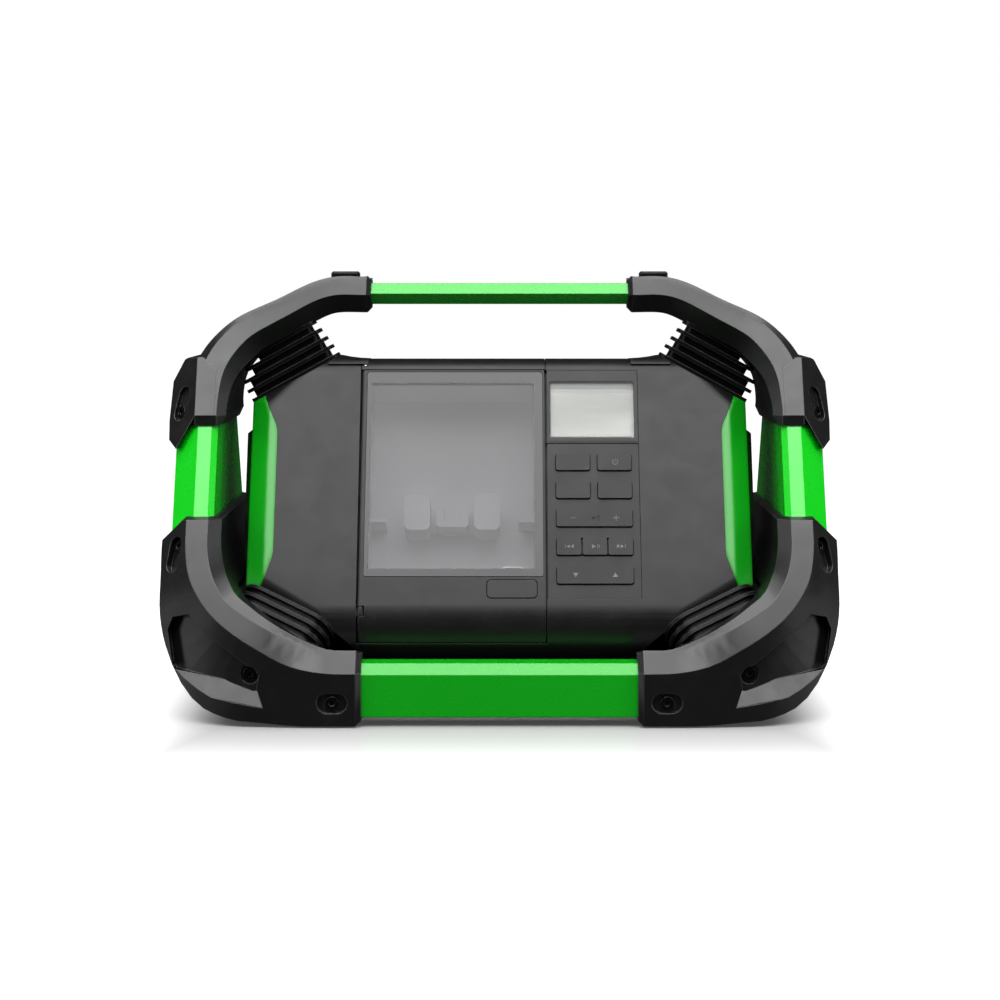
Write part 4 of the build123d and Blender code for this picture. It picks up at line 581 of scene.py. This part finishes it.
# ---------------------------------------------------------------- key symbols
# Pale printing on the keys, a few hundredths of a millimetre thick: power, minus,
# loudspeaker, plus, skip, play and pause, and the two arrows of the memory key.

print_top = 0.00106
print_bottom = 0.00094
print_pale = finish(
    "pale_print", (0.20, 0.205, 0.205), 0.5, (0.2, 0.2, 0.2), drift=0.1, dust=0.0, wear_and_highlight=0.0
)
print_dark = finish(
    "dark_print", (0.004, 0.004, 0.004), 0.5, (0.01, 0.01, 0.01), drift=0.1, dust=0.0, wear_and_highlight=0.0
)


def on_front(across, climb, out):
    """Matrix onto the leaned front at a place, X across, Y up the slope, Z outwards, in metres."""
    turn = Matrix((Vector((1, 0, 0)), slope_up, slope_out)).transposed().to_4x4()
    place = face_start + Vector((across, 0, 0)) + slope_up * climb + slope_out * out
    return Matrix.Translation(place) @ turn


def stroke(ink, across, climb, width, height):
    """Printed bar, centred on a place in millimetres."""
    place = on_front(across / 1000, climb / 1000, (print_top + print_bottom) / 2)
    size = Matrix.Diagonal((width / 1000, height / 1000, print_top - print_bottom, 1))
    bmesh.ops.create_cube(ink, size=1.0, matrix=place @ size)


def arrow(ink, across, climb, size, turn):
    """Printed triangle that points to a side: the turn is in degrees from pointing right."""
    place = on_front(across / 1000, climb / 1000, print_bottom)
    turned = place @ Matrix.Rotation(radians(turn - 90), 4, "Z")
    made = bmesh.ops.create_circle(ink, cap_ends=True, segments=3, radius=size / 1000, matrix=turned)
    face = made["verts"][0].link_faces[0]
    rise = bmesh.ops.extrude_face_region(ink, geom=[face])
    tops = [part for part in rise["geom"] if isinstance(part, bmesh.types.BMVert)]
    bmesh.ops.translate(ink, verts=tops, vec=slope_out * (print_top - print_bottom))


def arc(ink, across, climb, radius, width, start, sweep):
    """Printed arc about a place, angles in degrees from the right."""
    centre = on_front(across / 1000, climb / 1000, (print_top + print_bottom) / 2)
    spoke = centre @ Matrix.Rotation(radians(start), 4, "Z") @ Matrix.Translation((radius / 1000, 0, 0))
    upright = spoke @ Matrix.Rotation(radians(90), 4, "X")
    size = Matrix.Diagonal((width / 1000, print_top - print_bottom, 1, 1))
    made = bmesh.ops.create_grid(
        ink, x_segments=1, y_segments=1, size=0.5, matrix=upright @ size
    )
    section = list({face for vert in made["verts"] for face in vert.link_faces})
    bmesh.ops.spin(
        ink, geom=section, cent=centre.translation, axis=slope_out, angle=radians(sweep),
        steps=max(6, round(sweep / 12)), use_merge=False,
    )


def printed_mark(name, body, ink, material):
    """Piece of printing that moves with a key."""
    bmesh.ops.remove_doubles(ink, verts=ink.verts, dist=0.000001)
    bmesh.ops.recalc_face_normals(ink, faces=ink.faces)
    data = bpy.data.meshes.new(name)
    ink.to_mesh(data)
    ink.free()
    data.materials.append(material)
    piece = bpy.data.objects.new(name, data)
    scene.collection.objects.link(piece)
    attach(piece, body)


# Places in millimetres, across the radio and up the slope
power_row, volume_row, skip_row = 133.8, 90.6, 69.0

power_across = 84.0
power_ink = bmesh.new()
arc(power_ink, power_across, power_row, 2.0, 0.55, 125, 290)
stroke(power_ink, power_across, 135.2, 0.55, 2.2)
printed_mark("power_symbol", "key_power", power_ink, print_pale)

minus_across, plus_across = 53.4, 84.1
volume_ink = bmesh.new()
stroke(volume_ink, minus_across, volume_row, 4.0, 0.5)
stroke(volume_ink, plus_across, volume_row, 4.4, 0.6)
stroke(volume_ink, plus_across, volume_row, 0.6, 4.4)
printed_mark("volume_signs", "volume_rocker", volume_ink, print_pale)

sound_ink = bmesh.new()
stroke(sound_ink, 67.2, volume_row, 1.2, 1.6)
arrow(sound_ink, 68.2, volume_row, 1.7, 180)
for sound_radius in (1.3, 2.3, 3.3):
    arc(sound_ink, 69.0, volume_row, sound_radius, 0.45, -50, 100)
printed_mark("sound_symbol", "volume_rocker", sound_ink, print_dark)

skip_arrow = 1.7
back_ink = bmesh.new()
stroke(back_ink, 47.2, skip_row, 0.5, 2.6)
for arrow_across in (49.6, 52.4):
    arrow(back_ink, arrow_across, skip_row, skip_arrow, 180)
printed_mark("skip_back_symbol", "key_previous", back_ink, print_pale)

play_ink = bmesh.new()
arrow(play_ink, 67.2, skip_row, 1.9, 0)
for bar_across in (70.2, 71.5):
    stroke(play_ink, bar_across, skip_row, 0.5, 2.8)
printed_mark("play_symbol", "key_play", play_ink, print_pale)

next_ink = bmesh.new()
stroke(next_ink, 90.2, skip_row, 0.5, 2.6)
for arrow_across in (85.0, 87.8):
    arrow(next_ink, arrow_across, skip_row, skip_arrow, 0)
printed_mark("skip_on_symbol", "key_next", next_ink, print_pale)

memory_arrow = 2.3
memory_ink = bmesh.new()
arrow(memory_ink, 54.3, 47.9, memory_arrow, -90)
arrow(memory_ink, 82.7, 47.0, memory_arrow, 90)
printed_mark("memory_arrows", "preset_rocker", memory_ink, print_pale)
